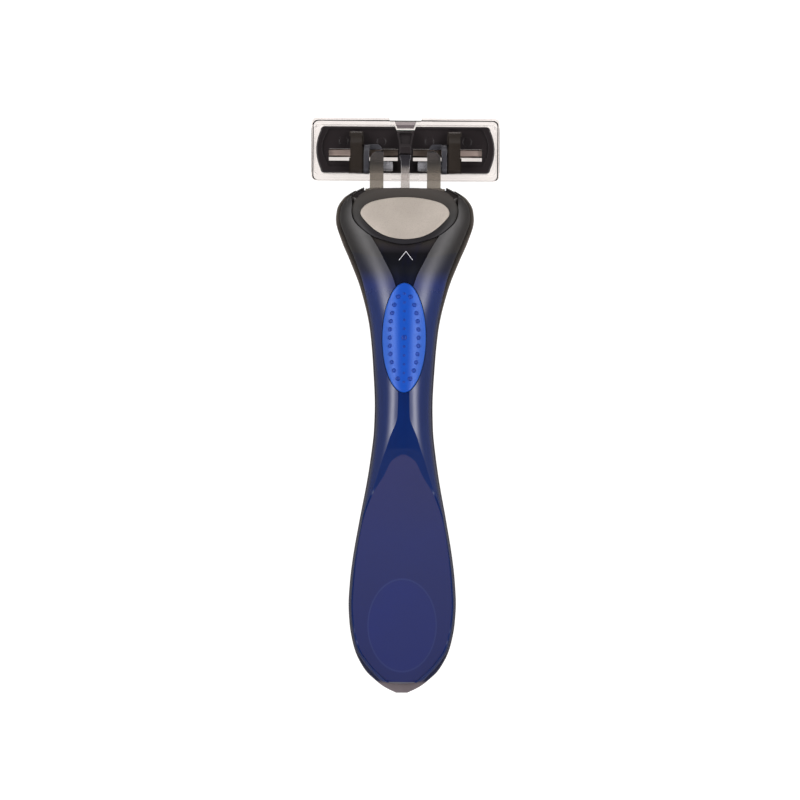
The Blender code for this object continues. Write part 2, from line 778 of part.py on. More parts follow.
def protective_cap(clear):
    outer = rounded_rectangle(-CAP_HALF, CAP_NEAR_Y, CAP_HALF, CAP_FAR_Y, 1.2)
    cap = prism("protective_cap", outer, "Z", 0.0, CAP_HEIGHT)
    inner = rounded_rectangle(-21.3, 54.2, 21.3, 65.8, 0.8)
    cut(cap, prism("cap_space", inner, "Z", 1.0, 8.0, CUTTERS))
    cut(cap, block("cap_notch", (-3.75, 66.9, 2.5), (3.75, 68.0, 8.0), CUTTERS))
    hook_profile = [(65.2, 5.2), (66.6, 4.2), (66.6, 6.7), (64.9, 6.7), (64.9, 6.2)]
    join(cap, prism("cap_hook", hook_profile, "X", -2.5, 2.5, CUTTERS))
    tab = block("cap_tab", (-3.3, 52.9, 4.5), (3.3, 54.1, 6.9), CUTTERS)
    join(cap, tab)
    place(cap, clear, (0.0, 60.0, 0.0))


def build():
    clear_scene()
    smoke = plastic("smoke_plastic", (0.06, 0.06, 0.055), 0.15, transmission=0.4)
    blue = plastic("blue_plastic", (0.02, 0.04, 0.22), 0.2)
    rubber = plastic("blue_rubber", (0.03, 0.10, 0.60), 0.55)
    silver = plastic("silver_paint", (0.48, 0.45, 0.42), 0.45, 0.6)
    clear = plastic("clear_plastic", (0.9, 0.9, 0.9), 0.05, transmission=0.95)
    grey_clear = plastic("grey_clear_plastic", (0.25, 0.26, 0.27), 0.1, transmission=0.7)
    black = plastic("black_plastic", (0.015, 0.013, 0.012), 0.35)
    dark = plastic("dark_plastic", (0.03, 0.03, 0.03), 0.4)
    fins = plastic("guard_rubber", (0.02, 0.05, 0.2), 0.6)
    strip = plastic("lubricant", (0.55, 0.72, 0.65), 0.5)
    steel = plastic("blade_steel", (0.75, 0.75, 0.74), 0.18, 1.0)
    support_steel = plastic("support_steel", (0.45, 0.42, 0.39), 0.35, 1.0)
    spring_steel = plastic("spring_steel", (0.6, 0.6, 0.6), 0.3, 1.0)

    handle_pieces(smoke, blue, rubber)
    yoke_piece(grey_clear)
    plunger_pieces(clear, spring_steel)
    button_pieces(smoke, silver, spring_steel, dark)
    for side in (-1, 1):
        journal(side, grey_clear)
    cartridge_pieces(black, fins, strip, steel, support_steel)
    protective_cap(clear)


build()
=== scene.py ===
import json
import math

import bmesh
import bpy
from mathutils import Matrix, Vector

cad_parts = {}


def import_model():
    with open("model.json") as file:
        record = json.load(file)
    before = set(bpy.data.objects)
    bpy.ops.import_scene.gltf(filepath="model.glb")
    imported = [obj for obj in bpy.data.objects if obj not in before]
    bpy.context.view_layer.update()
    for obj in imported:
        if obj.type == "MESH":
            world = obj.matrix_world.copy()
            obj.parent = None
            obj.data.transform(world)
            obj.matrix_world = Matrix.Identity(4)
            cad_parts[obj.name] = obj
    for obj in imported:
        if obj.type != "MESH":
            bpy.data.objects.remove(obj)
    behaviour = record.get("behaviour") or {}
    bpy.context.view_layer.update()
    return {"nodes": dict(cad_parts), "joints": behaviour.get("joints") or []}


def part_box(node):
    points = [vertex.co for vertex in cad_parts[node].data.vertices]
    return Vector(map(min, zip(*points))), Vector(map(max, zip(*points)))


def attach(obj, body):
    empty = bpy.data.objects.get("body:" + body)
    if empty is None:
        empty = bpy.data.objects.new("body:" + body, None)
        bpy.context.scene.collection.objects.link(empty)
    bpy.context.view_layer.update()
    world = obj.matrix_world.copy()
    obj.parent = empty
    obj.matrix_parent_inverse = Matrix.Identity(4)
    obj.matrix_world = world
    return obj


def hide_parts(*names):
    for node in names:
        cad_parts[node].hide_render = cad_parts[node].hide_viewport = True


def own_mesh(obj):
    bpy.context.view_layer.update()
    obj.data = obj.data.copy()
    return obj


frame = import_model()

# The razor lies thumb side up on a pale table: X across, Y towards the cartridge, Z up.
# Lengths are in millimetres in this script and become metres when a mesh is made.
MM = 0.001
SEAM = 0.12  # width of the fine gaps between visible mouldings


def cad(node):
    """Lowest and highest corner of a CAD node, in millimetres."""
    low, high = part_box(node)
    return low / MM, high / MM


# ---- Handle surface ----

# Rows of: Y, half width, underside height, crest height of the top.
HANDLE_ROWS = (
    (51.0, 10.1, 4.7, 12.7), (50.4, 11.3, 4.6, 12.8), (49.7, 12.6, 4.5, 13.0),
    (48.3, 14.5, 4.4, 13.3), (45.7, 15.95, 4.3, 13.9), (43.3, 16.2, 4.3, 14.4),
    (38.6, 14.9, 4.5, 15.4), (33.9, 12.9, 5.0, 16.5), (26.9, 10.2, 6.3, 18.0),
    (17.5, 8.0, 7.7, 19.4), (9.0, 7.2, 8.2, 19.9), (-0.5, 6.75, 8.1, 19.9),
    (-5.9, 6.9, 7.6, 19.6), (-11.5, 7.5, 6.9, 19.0), (-17.6, 8.4, 5.8, 17.9),
    (-27.0, 10.15, 3.9, 15.6), (-36.4, 11.75, 2.0, 13.2), (-41.6, 12.35, 1.2, 11.9),
    (-47.0, 12.65, 0.5, 10.5), (-51.5, 12.4, 0.15, 9.35), (-55.0, 11.85, 0.0, 8.5),
    (-58.45, 10.9, 0.05, 7.65), (-61.85, 9.15, 0.2, 6.8), (-63.25, 8.1, 0.3, 6.35),
    (-64.65, 6.6, 0.45, 5.95), (-65.55, 5.55, 0.6, 5.65), (-66.55, 4.15, 0.8, 5.3),
    (-67.45, 2.4, 1.1, 4.8), (-67.95, 1.3, 1.6, 4.2),
)
PARTING = 0.45  # height of the seam between the shells, as a share of the section
UPPER_START_Y, UPPER_END_Y = 50.9, -65.7
END_ROUND = 0.7
END_BEND = 0.025  # the upper shell ends in a shallow arc
END_BEND_START = -58.0

# Rows of: Y, inset from the silhouette, roundness exponent, half width of the tail facet,
# half width of the valley between the ridges, depth of the step into the valley.
TOP_ROWS = (
    (51.0, 0.7, 2.6, 0.3, 12.6, 0.5), (44.0, 0.9, 2.6, 0.3, 12.2, 0.5),
    (40.3, 1.2, 2.5, 0.3, 8.7, 0.55), (36.3, 1.3, 2.4, 0.3, 6.1, 0.6),
    (33.0, 1.25, 2.3, 0.3, 4.4, 0.6), (30.0, 1.1, 2.2, 0.3, 2.9, 0.5),
    (26.5, 0.8, 2.2, 0.3, 1.9, 0.4), (22.0, 0.5, 2.2, 0.3, 1.6, 0.3),
    (15.0, 0.3, 2.2, 0.3, 1.5, 0.2), (2.9, 0.3, 2.2, 0.3, 1.3, 0.12),
    (-2.4, 0.3, 2.3, 0.3, 1.4, 0.08), (-7.6, 0.3, 2.4, 0.3, 3.2, 0.04),
    (-11.3, 0.3, 2.6, 0.4, 4.4, 0.02), (-12.8, 0.3, 2.7, 2.6, 4.9, 0.0),
    (-16.5, 0.3, 3.0, 4.5, 6.0, 0.0), (-20.3, 0.3, 3.6, 6.8, 7.3, 0.0),
    (-23.1, 0.3, 4.3, 8.0, 8.4, 0.0), (-26.8, 0.3, 6.0, 9.2, 9.5, 0.0),
    (-36.4, 0.3, 6.0, 10.8, 11.1, 0.0), (-41.6, 0.3, 6.0, 11.3, 11.6, 0.0),
    (-47.0, 0.3, 6.0, 11.6, 11.9, 0.0), (-51.5, 0.3, 6.0, 11.3, 11.6, 0.0),
    (-54.8, 0.3, 6.0, 10.7, 11.0, 0.0), (-58.1, 0.3, 5.5, 9.6, 9.9, 0.0),
    (-61.4, 0.3, 4.5, 7.7, 8.0, 0.0), (-62.8, 0.3, 4.0, 6.5, 6.9, 0.0),
    (-64.2, 0.3, 4.0, 4.9, 5.3, 0.0), (-65.1, 0.3, 4.0, 3.7, 4.2, 0.0),
    (-65.7, 0.3, 4.0, 2.9, 3.4, 0.0),
)
FACET_START = (-11.3, 18.3)  # Y and Z of the tail facet's front end
FACET_SLOPE = 0.246
HEAD_SLOT_Y = 20.0  # from here forwards the valley is a flat slot
CROWN_SHARE = 0.35  # how far the valley's middle is filled up behind that
LIP_SHARPNESS = 0.3

GRIP_CENTRE_Y, GRIP_HALF_X, GRIP_HALF_Y = 15.6, 5.08, 12.75
BUTTON_CENTRE = (0.0, 44.5)
BUTTON_HALF = [
    (0.0, 50.7), (6.5, 50.45), (10.2, 49.4), (12.2, 46.6),
    (12.1, 43.6), (10.2, 41.2), (6.6, 38.9), (0.0, 37.4),
]
BUTTON_REACH = (46.5, 4.9)  # where the recess starts to lengthen for the slide, and by how much
BADGE_HALF = [
    (0.0, 48.5), (5.0, 48.05), (8.8, 46.9), (10.4, 44.9),
    (9.3, 42.9), (6.6, 40.5), (3.6, 39.1), (0.0, 38.6),
]

# Room in the head for the slide and the fork: name, half width, Y span, Z span.
UPPER_ROOMS = (("inside", 9.6, (36.3, 55.0), (6.0, 10.7)), ("wings", 11.6, (36.3, 55.0), (6.0, 9.5)))
LOWER_ROOMS = (
    ("cavity_back", 7.8, (33.2, 41.0), (6.9, 20.0)),
    ("cavity_sides", 11.6, (36.3, 55.0), (7.2, 20.0)),
    ("cavity_front", 9.6, (40.0, 55.0), (6.0, 20.0)),
)


def row_values(rows, y):
    """Values between the rows of a table, on a curve that never overshoots a row."""
    if y >= rows[0][0]:
        return rows[0][1:]
    if y <= rows[-1][0]:
        return rows[-1][1:]
    k = next(i for i in range(len(rows) - 1) if rows[i + 1][0] <= y)
    width = rows[k + 1][0] - rows[k][0]
    t = (y - rows[k][0]) / width
    values = []
    for column in range(1, len(rows[0])):

        def slope(i):
            if i < 0 or i + 1 >= len(rows):
                return None
            return (rows[i + 1][column] - rows[i][column]) / (rows[i + 1][0] - rows[i][0])

        def tangent(i):
            before, after = slope(i - 1), slope(i)
            if before is None or after is None:
                return after if before is None else before
            if before * after <= 0:
                return 0.0
            return 2 * before * after / (before + after)

        p0, p1 = rows[k][column], rows[k + 1][column]
        m0, m1 = tangent(k) * width, tangent(k + 1) * width
        values.append(
            (2 * t**3 - 3 * t**2 + 1) * p0
            + (t**3 - 2 * t**2 + t) * m0
            + (3 * t**2 - 2 * t**3) * p1
            + (t**3 - t**2) * m1
        )
    return values


def spaced(start, end, step):
    """Y positions from start down to end, closer together where the outline turns fast."""
    marks = sorted({start, end} | {r[0] for r in HANDLE_ROWS if end < r[0] < start}, reverse=True)
    result = []
    for high, low in zip(marks, marks[1:]):
        turning = high > 45 or low < -62
        count = max(1, math.ceil((high - low) / (step * (0.35 if turning else 1.0))))
        result += [high + (low - high) * i / count for i in range(count)]
    return result + [end]


def parting_height(y):
    """Height of the seam between the upper and the lower shell."""
    _, bottom, crest = row_values(HANDLE_ROWS, y)
    return bottom + PARTING * (crest - bottom)


def dome_height(x, y):
    """Height of the handle's rounded top before the valley and the facet are cut."""
    half, _, crest = row_values(HANDLE_ROWS, y)
    inset, power = row_values(TOP_ROWS, y)[:2]
    share = min(abs(x) / (half - inset), 1.0)
    parting = parting_height(y)
    return parting + (crest - parting) * (1 - share**power) ** (1 / power)


def facet_height(y):
    start_y, start_z = FACET_START
    return start_z - FACET_SLOPE * (start_y - y)


def end_share(y):
    """How much of its height the upper shell keeps, which falls off in a curve at its end."""
    into_end = min(1.0, max(0.0, 1 - (y - UPPER_END_Y) / END_ROUND))
    drop = END_ROUND * (1 - math.sqrt(1 - 0.98 * into_end**2))
    return 1 - drop / (facet_height(UPPER_END_Y) - parting_height(UPPER_END_Y))


def valley_middle(y):
    """Height of the valley's middle line, or of the tail facet."""
    if y <= FACET_START[0]:
        return facet_height(y)
    half, _, crest = row_values(HANDLE_ROWS, y)
    valley, step = row_values(TOP_ROWS, y)[3:5]
    edge = dome_height(min(valley, half - 1.8), y)
    if y >= HEAD_SLOT_Y:
        return edge - step - 0.2
    crown = edge - step + CROWN_SHARE * (crest - edge)
    blend = max(0.0, min(1.0, (y + 2.0) / 20.0))
    return crown * (1 - blend) + (edge - step) * blend


def upper_half_section(y, segments=14):
    """Right half of the upper shell's section, from the middle out, with its zone's name."""
    half, _, crest = row_values(HANDLE_ROWS, y)
    inset, power, facet, valley, step = row_values(TOP_ROWS, y)
    width = half - inset
    valley = min(valley, width - 0.4)
    parting = parting_height(y)
    edge = dome_height(valley, y)
    middle = valley_middle(y)
    lip = max(valley - 0.06 - step * LIP_SHARPNESS, facet + 0.6 * (valley - facet))
    flat = "facet" if y <= FACET_START[0] else "valley"
    side = [(0.0, middle, flat), (facet * 0.5, middle, flat), (facet, middle, flat)]
    rise = edge - step - middle
    for k in (0.25, 0.5, 0.75, 1.0):
        climb = rise * k * k * (3 - 2 * k) if flat == "valley" else rise * k
        side.append((facet + (lip - facet) * k, middle + climb, "valley"))
    side.append((valley, edge, "valley"))
    start = math.asin((valley / width) ** (power / 2))
    for i in range(1, segments + 1):
        t = start + (math.pi / 2 - start) * i / segments
        x = width * math.sin(t) ** (2 / power)
        z = parting + (crest - parting) * max(math.cos(t), 0.0) ** (2 / power)
        side.append((x, z, "ridge"))
    side[-1] = (width, parting, "ridge")
    share = end_share(y)
    return [(x, parting + SEAM / 2 + (z - parting) * share, kind) for x, z, kind in side]


# ---- Mesh helpers ----

def to_object(name, bm, smooth_angle=35):
    """Turns a bmesh in millimetres into an object in metres with smooth shading."""
    bmesh.ops.remove_doubles(bm, verts=bm.verts, dist=1e-5)
    bmesh.ops.recalc_face_normals(bm, faces=bm.faces)
    bm.transform(Matrix.Scale(MM, 4))
    mesh = bpy.data.meshes.new(name)
    bm.to_mesh(mesh)
    bm.free()
    obj = bpy.data.objects.new(name, mesh)
    bpy.context.scene.collection.objects.link(obj)
    shade(obj, smooth_angle)
    return obj


def shade(obj, smooth_angle=35):
    obj.data.shade_smooth()
    obj.data.set_sharp_from_angle(angle=math.radians(smooth_angle))
    return obj


def settle(obj, smooth_angle=None):
    """Makes the object's modifiers part of its mesh."""
    graph = bpy.context.evaluated_depsgraph_get()
    mesh = bpy.data.meshes.new_from_object(obj.evaluated_get(graph), depsgraph=graph)
    old = obj.data
    obj.modifiers.clear()
    obj.data = mesh
    mesh.name = obj.name
    bpy.data.meshes.remove(old)
    if smooth_angle is not None:
        shade(obj, smooth_angle)
    return obj


def combine(obj, others, operation, smooth_angle=35):
    """Boolean of obj with each other object, which are used up."""
    for other in others:
        modifier = obj.modifiers.new(operation.lower(), "BOOLEAN")
        modifier.operation = operation
        modifier.object = other
        modifier.solver = "EXACT"
        modifier.material_mode = "TRANSFER"
    settle(obj, smooth_angle)
    for other in others:
        bpy.data.objects.remove(other)
    return obj


def rounded(obj, width, segments=3, angle=40, smooth_angle=50):
    """Rounds the object's edges."""
    modifier = obj.modifiers.new("round", "BEVEL")
    modifier.width = width * MM
    modifier.segments = segments
    modifier.limit_method = "ANGLE"
    modifier.angle_limit = math.radians(angle)
    return settle(obj, smooth_angle)


def block(name, low, high):
    """A block between two corners."""
    low, high = Vector(low), Vector(high)
    bm = bmesh.new()
    matrix = Matrix.Translation((low + high) / 2) @ Matrix.Diagonal((*(high - low), 1.0))
    bmesh.ops.create_cube(bm, size=1.0, matrix=matrix)
    return to_object(name, bm)


def middle_block(name, half, y_span, z_span):
    """A block across the middle line."""
    return block(name, (-half, y_span[0], z_span[0]), (half, y_span[1], z_span[1]))


def mirrored(side, x_span):
    """Left and right end of a span on one side, which is given for the right side."""
    return sorted((side * x_span[0], side * x_span[1]))


def side_block(name, side, x_span, y_span, z_span):
    left, right = mirrored(side, x_span)
    return block(name, (left, y_span[0], z_span[0]), (right, y_span[1], z_span[1]))


def side_prism(name, side, x_span, profile):
    return prism(name, profile, "X", *mirrored(side, x_span))


def rod(name, radius, start, end, segments=32):
    """A round rod between two points."""
    start, end = Vector(start), Vector(end)
    turn = (end - start).to_track_quat("Z", "Y").to_matrix().to_4x4()
    matrix = Matrix.Translation((start + end) / 2) @ turn
    bm = bmesh.new()
    bmesh.ops.create_cone(
        bm, cap_ends=True, segments=segments, radius1=radius, radius2=radius,
        depth=(end - start).length, matrix=matrix,
    )
    return to_object(name, bm)


def prism(name, outline, across, low, high, smooth_angle=35):
    """A flat outline extruded along one axis."""
    index = "XYZ".index(across)
    bm = bmesh.new()
    verts = []
    for a, b in outline:
        point = [a, b]
        point.insert(index, low)
        verts.append(bm.verts.new(point))
    face = bm.faces.new(verts)
    raised = bmesh.ops.extrude_face_region(bm, geom=[face])["geom"]
    shift = Vector((0, 0, 0))
    shift[index] = high - low
    bmesh.ops.translate(bm, vec=shift, verts=[v for v in raised if isinstance(v, bmesh.types.BMVert)])
    return to_object(name, bm, smooth_angle)


def stack(name, rings, smooth_angle=35):
    """A closed solid through rings of equally many points."""
    bm = bmesh.new()
    rows = [[bm.verts.new(point) for point in ring] for ring in rings]
    count = len(rows[0])
    for row, following in zip(rows, rows[1:]):
        for i in range(count):
            j = (i + 1) % count
            bm.faces.new((row[i], row[j], following[j], following[i]))
    bm.faces.new(rows[0])
    bm.faces.new(list(reversed(rows[-1])))
    return to_object(name, bm, smooth_angle)


def arc(centre_a, centre_b, radius, start, end, count):
    """Points on an arc between two angles in degrees."""
    points = []
    for i in range(count + 1):
        angle = math.radians(start + (end - start) * i / count)
        points.append((centre_a + radius * math.cos(angle), centre_b + radius * math.sin(angle)))
    return points


def rounded_rectangle(left, near, right, far, radius, count=8):
    points = arc(right - radius, far - radius, radius, 0, 90, count)
    points += arc(left + radius, far - radius, radius, 90, 180, count)
    points += arc(left + radius, near + radius, radius, 180, 270, count)
    points += arc(right - radius, near + radius, radius, 270, 360, count)
    return points


def barrel(half, corner, near, far, radius, count=20):
    """A rectangle whose two short ends bulge outwards, with small round corners."""
    middle, reach = (near + far) / 2, (far - near) / 2 - radius
    end = []
    for i in range(count + 1):
        t = -1 + 2 * i / count
        end.append((half - (half - corner - radius * 0.3) * t * t, middle + reach * t))
    top = arc(corner - radius * 0.7, far - radius, radius, 20, 90, 6)
    bottom = arc(corner - radius * 0.7, near + radius, radius, -90, -20, 6)
    right = bottom + end + top
    return right + [(-x, y) for x, y in reversed(right)]


def smooth_outline(half_points, steps=10):
    """A closed outline symmetric about X = 0, through points given for its right side."""
    points = half_points + [(-x, y) for x, y in reversed(half_points) if x > 0.01]
    count = len(points)
    outline = []
    for i in range(count):
        p0, p1, p2, p3 = (Vector(points[(i + k) % count]) for k in (-1, 0, 1, 2))
        for s in range(steps):
            t = s / steps
            spot = 0.5 * (
                2 * p1 + (p2 - p0) * t + (2 * p0 - 5 * p1 + 4 * p2 - p3) * t**2
                + (3 * p1 - p0 - 3 * p2 + p3) * t**3
            )
            outline.append((spot.x, spot.y))
    return outline


def grown(outline, centre, amount):
    """The outline with every point moved away from the centre."""
    points = []
    for x, y in outline:
        away = Vector((x - centre[0], y - centre[1]))
        away = away * (1 + amount / away.length)
        points.append((centre[0] + away.x, centre[1] + away.y))
    return points


def patch(name, outline, centre, top, bottom, rings=10, smooth_angle=40, edge=0.0):
    """A slab over an outline in plan, between two height functions, its top edge rounded off."""
    bm = bmesh.new()
    count = len(outline)
    shares = [r / rings for r in range(1, rings + 1)]
    steps = [(share, 0.0) for share in shares]
    if edge:
        reach = sum(math.hypot(x - centre[0], y - centre[1]) for x, y in outline) / count
        flat = 1 - edge / reach
        steps = [(share * flat, 0.0) for share in shares]
        for k in range(1, 5):
            angle = math.pi / 2 * k / 4
            steps.append((flat + (1 - flat) * math.sin(angle), edge * (1 - math.cos(angle))))

    def sheet(height, rows_wanted):
        middle = bm.verts.new((centre[0], centre[1], height(*centre)))
        rows = []
        for share, fall in rows_wanted:
            row = []
            for x, y in outline:
                px = centre[0] + (x - centre[0]) * share
                py = centre[1] + (y - centre[1]) * share
                row.append(bm.verts.new((px, py, height(px, py) - fall)))
            rows.append(row)
        for i in range(count):
            j = (i + 1) % count
            bm.faces.new((middle, rows[0][i], rows[0][j]))
            for inner, outer in zip(rows, rows[1:]):
                bm.faces.new((inner[i], outer[i], outer[j], inner[j]))
        return rows[-1]

    upper = sheet(top, steps)
    lower = sheet(bottom, [(share, 0.0) for share in (0.25, 0.5, 0.7, 0.85, 1.0)])
    for i in range(count):
        j = (i + 1) % count
        bm.faces.new((upper[i], lower[i], lower[j], upper[j]))
    return to_object(name, bm, smooth_angle)


# ---- Materials ----

def colour(code):
    """Linear colour from an sRGB code such as 3A4B5C, or grey from a plain level."""
    if not isinstance(code, str):
        return (code, code, code, 1.0)
    values = []
    for i in (0, 2, 4):
        c = int(code[i : i + 2], 16) / 255
        values.append(c / 12.92 if c <= 0.04045 else ((c + 0.055) / 1.055) ** 2.4)
    return (*values, 1.0)


class Nodes:
    """A node tree, with short calls for what the materials and the studio need."""

    def __init__(self, tree):
        self.tree = tree

    def add(self, kind, **settings):
        node = self.tree.nodes.new(kind)
        for key, value in settings.items():
            setattr(node, key, value)
        return node

    def link(self, source, target):
        self.tree.links.new(source, target)

    def math(self, operation, a, b=0.0, c=0.0):
        node = self.add("ShaderNodeMath", operation=operation)
        for socket, value in zip(node.inputs, (a, b, c)):
            if isinstance(value, (int, float)):
                socket.default_value = value
            else:
                self.link(value, socket)
        return node.outputs[0]

    def ramp(self, factor, stops):
        """Colours along a factor, as pairs of a position and an sRGB code or a level."""
        node = self.add("ShaderNodeValToRGB")
        elements = node.color_ramp.elements
        while len(elements) < len(stops):
            elements.new(0.5)
        for element, (position, code) in zip(elements, stops):
            element.position = position
            element.color = colour(code)
        self.link(factor, node.inputs[0])
        return node.outputs["Color"]


class Finish(Nodes):
    """A procedural material: its nodes, with calls for what every finish here needs."""

    def __init__(self, name, **sockets):
        self.material = bpy.data.materials.new(name)
        self.material.use_nodes = True
        super().__init__(self.material.node_tree)
        self.shader = self.tree.nodes["Principled BSDF"]
        for socket, value in sockets.items():
            self.shader.inputs[socket.replace("_", " ")].default_value = value
        self.place = self.add("ShaderNodeTexCoord").outputs["Object"]

    def axis(self, name):
        """The place on the object along X, Y or Z, in millimetres."""
        split = self.add("ShaderNodeSeparateXYZ")
        self.link(self.place, split.inputs[0])
        return self.math("MULTIPLY", split.outputs[name], 1 / MM)

    def noise(self, scale, detail=3.0, stretch=(1, 1, 1)):
        mapping = self.add("ShaderNodeMapping")
        mapping.inputs["Scale"].default_value = stretch
        self.link(self.place, mapping.inputs[0])
        node = self.add("ShaderNodeTexNoise")
        node.inputs["Scale"].default_value = scale
        node.inputs["Detail"].default_value = detail
        self.link(mapping.outputs[0], node.inputs["Vector"])
        return node.outputs["Fac"]

    def span(self, value, low, high, to_low=0.0, to_high=1.0, smooth=True):
        """Maps a value from one span to another, and holds it at the ends."""
        node = self.add("ShaderNodeMapRange", interpolation_type="SMOOTHSTEP" if smooth else "LINEAR")
        ends = ("From Min", "From Max", "To Min", "To Max")
        for socket, number in zip(ends, (low, high, to_low, to_high)):
            node.inputs[socket].default_value = number
        self.link(value, node.inputs["Value"])
        return node.outputs[0]

    def mix(self, factor, a, b):
        node = self.add("ShaderNodeMix", data_type="RGBA")
        for socket, value in ((node.inputs["Factor"], factor), (node.inputs[6], a), (node.inputs[7], b)):
            if isinstance(value, str):
                socket.default_value = colour(value)
            elif isinstance(value, (int, float)):
                socket.default_value = value
            else:
                self.link(value, socket)
        return node.outputs[2]

    def edge_distance(self):
        """Distance in from the handle's silhouette, in millimetres."""
        node = self.add("ShaderNodeFloatCurve")
        curve = node.mapping.curves[0]
        start, end = HANDLE_ROWS[0][0], HANDLE_ROWS[-1][0]
        curve.points[0].location = (0.0, HANDLE_ROWS[-1][1] / CURVE_FULL)
        curve.points[1].location = (1.0, HANDLE_ROWS[0][1] / CURVE_FULL)
        for i in range(1, CURVE_POINTS):
            spot = end + (start - end) * i / CURVE_POINTS
            curve.points.new(i / CURVE_POINTS, row_values(HANDLE_ROWS, spot)[0] / CURVE_FULL)
        node.mapping.update()
        self.link(self.span(self.axis("Y"), end, start, smooth=False), node.inputs["Value"])
        half = self.math("MULTIPLY", node.outputs[0], CURVE_FULL)
        return self.math("SUBTRACT", half, self.side())

    def side(self):
        """Distance from the middle line."""
        return self.math("ABSOLUTE", self.axis("X"))

    def paint(self, base, tone=None, marks=None, reach=(0.35, 0.75), share=0.2):
        """Colours the surface, with marks of another tone where a noise is high."""
        if tone:
            base = self.mix(self.span(marks, *reach, 0.0, share), base, tone)
        self.link(base, self.shader.inputs["Base Color"])

    def surface(self, gloss, rough, relief, height):
        """Uneven gloss between two roughnesses, and a relief of a height in millimetres."""
        if rough:
            gloss = self.span(gloss, 0.3, 0.7, *rough)
        self.link(gloss, self.shader.inputs["Roughness"])
        if height:
            node = self.add("ShaderNodeBump")
            node.inputs["Strength"].default_value = 1.0
            node.inputs["Distance"].default_value = height * MM
            self.link(relief, node.inputs["Height"])
            self.link(node.outputs[0], self.shader.inputs["Normal"])
        return self.material


# Values that several finishes share.
CURVE_FULL, CURVE_POINTS = 20.0, 40  # scale and points of the silhouette's curve
FLOW = (1.0, 0.2, 1.0)  # flow marks run along the handle
GRAIN = (0.04, 1.0, 1.0)  # rolled metal's grain runs across the razor
SMOKE_BORDER = (33.2, 32.8)  # where the smoke turns blue, at the middle line
BORDER_SLANT = -0.22
NECK_TINTS = [(0.0, "1A1B23"), (0.35, "1B1E33"), (0.75, "1C2A62"), (1.0, "223060")]
# Paler towards the edge: painted light shining through the thin plastic, over the smoke and the blue
# tints.
RIM_SMOKE_AND_LIT_EDGE = [(0.0, "7D756D"), (0.22, "5C5650"), (0.55, "3E3A36"), (0.85, "2E2B2A")]
RIM_BLUE_AND_LIT_EDGE = [(0.0, "6C655F"), (0.4, "454450"), (0.9, "2A2E48")]
# The pale brown at the start, just behind the plate, is a painted reflection band; the rest is the
# valley's own tint.
VALLEY_TINTS_AND_REFLECTION = [
    (0.0, "34312F"), (0.03, "28262A"), (0.055, "141417"), (0.14, "12141C"), (0.3, "10193C"),
    (0.8, "0E255C"), (1.0, "0B2256"),
]
PLATE_TINTS = [(0.0, "2D2C2F"), (0.2, "2A292B"), (0.5, "2A2927"), (0.85, "413E3B"), (1.0, "484441")]
EMBLEM_Y, EMBLEM_HALF = -51.75, (8.0, 11.0)


def moulded(name, base, dark, rough=(0.12, 0.2), ripple=0.004, **sockets):
    """Injection-moulded plastic: slight flow marks, a fine ripple and uneven gloss."""
    finish = Finish(name, **sockets)
    flow = finish.noise(90, 4.0, (1.0, 0.25, 1.0))
    finish.paint(finish.ramp(flow, [(0.35, dark), (0.65, base)]))
    return finish.surface(finish.noise(700, 3.0), rough, finish.noise(420, 2.0), ripple)


def shell_material():
    """Ridges of the handle: smoke at the head, dark blue from the neck down."""
    finish = Finish("shell_ridges", IOR=1.56, Coat_Weight=0.15, Coat_Roughness=0.05)
    side, y = finish.side(), finish.axis("Y")
    blue = finish.span(finish.math("MULTIPLY_ADD", side, BORDER_SLANT, y), *SMOKE_BORDER)
    head = finish.ramp(finish.span(side, 6.0, 15.0), [(0.0, "1C1B1D"), (1.0, "2A2826")])
    neck = finish.ramp(finish.span(y, 36.0, 24.0), NECK_TINTS)
    body = finish.mix(finish.span(y, -14.0, -30.0), neck, "232E5C")
    rim = finish.span(finish.edge_distance(), 0.3, 1.3)
    base = finish.mix(blue, head, finish.mix(rim, "2C3048", body))
    finish.paint(base, "0B0D1C", finish.noise(120, 4.0, FLOW), share=0.22)
    grain = finish.span(finish.noise(900, 4.0), 0.3, 0.7, 0.0, 0.04)
    gloss = finish.math("ADD", finish.span(y, 20.0, 36.0, 0.14, 0.46), grain)
    return finish.surface(gloss, None, finish.noise(300, 2.0), 0.0015)


def rim_material():
    """The lower shell: smoke, bluer down the handle, painted paler towards its edge and at the butt as
    light shining through the thin plastic.
    """
    finish = Finish("shell_rim", IOR=1.5, Coat_Weight=0.4, Coat_Roughness=0.08)
    edge, y = finish.edge_distance(), finish.axis("Y")
    smoke = finish.ramp(finish.span(edge, 0.0, 1.5, smooth=False), RIM_SMOKE_AND_LIT_EDGE)
    blue = finish.ramp(finish.span(edge, 0.0, 0.5, smooth=False), RIM_BLUE_AND_LIT_EDGE)
    sides = finish.mix(finish.span(y, 30.0, 8.0), smoke, blue)
    # Paler at the butt: painted light shining through the thin plastic there.
    lower = finish.mix(finish.span(y, -65.0, -65.8), sides, "70686B")
    finish.paint(lower, "1B1A1E", finish.noise(150, 4.0, FLOW))
    return finish.surface(finish.noise(800, 4.0), (0.12, 0.2), finish.noise(300, 2.0), 0.002)


def valley_material():
    """The dark triangle between the ridges at the head, and the navy V above the tail facet, with a
    painted reflection band just behind the plate.
    """
    finish = Finish("shell_valley", IOR=1.28)
    base = finish.ramp(finish.span(finish.axis("Y"), 38.0, -12.0, smooth=False), VALLEY_TINTS_AND_REFLECTION)
    finish.paint(base, "14183C", finish.noise(500, 3.0, (1.0, 0.06, 1.0)), (0.45, 0.75))
    return finish.surface(finish.noise(900, 4.0), (0.10, 0.15), finish.noise(300, 2.0), 0.003)


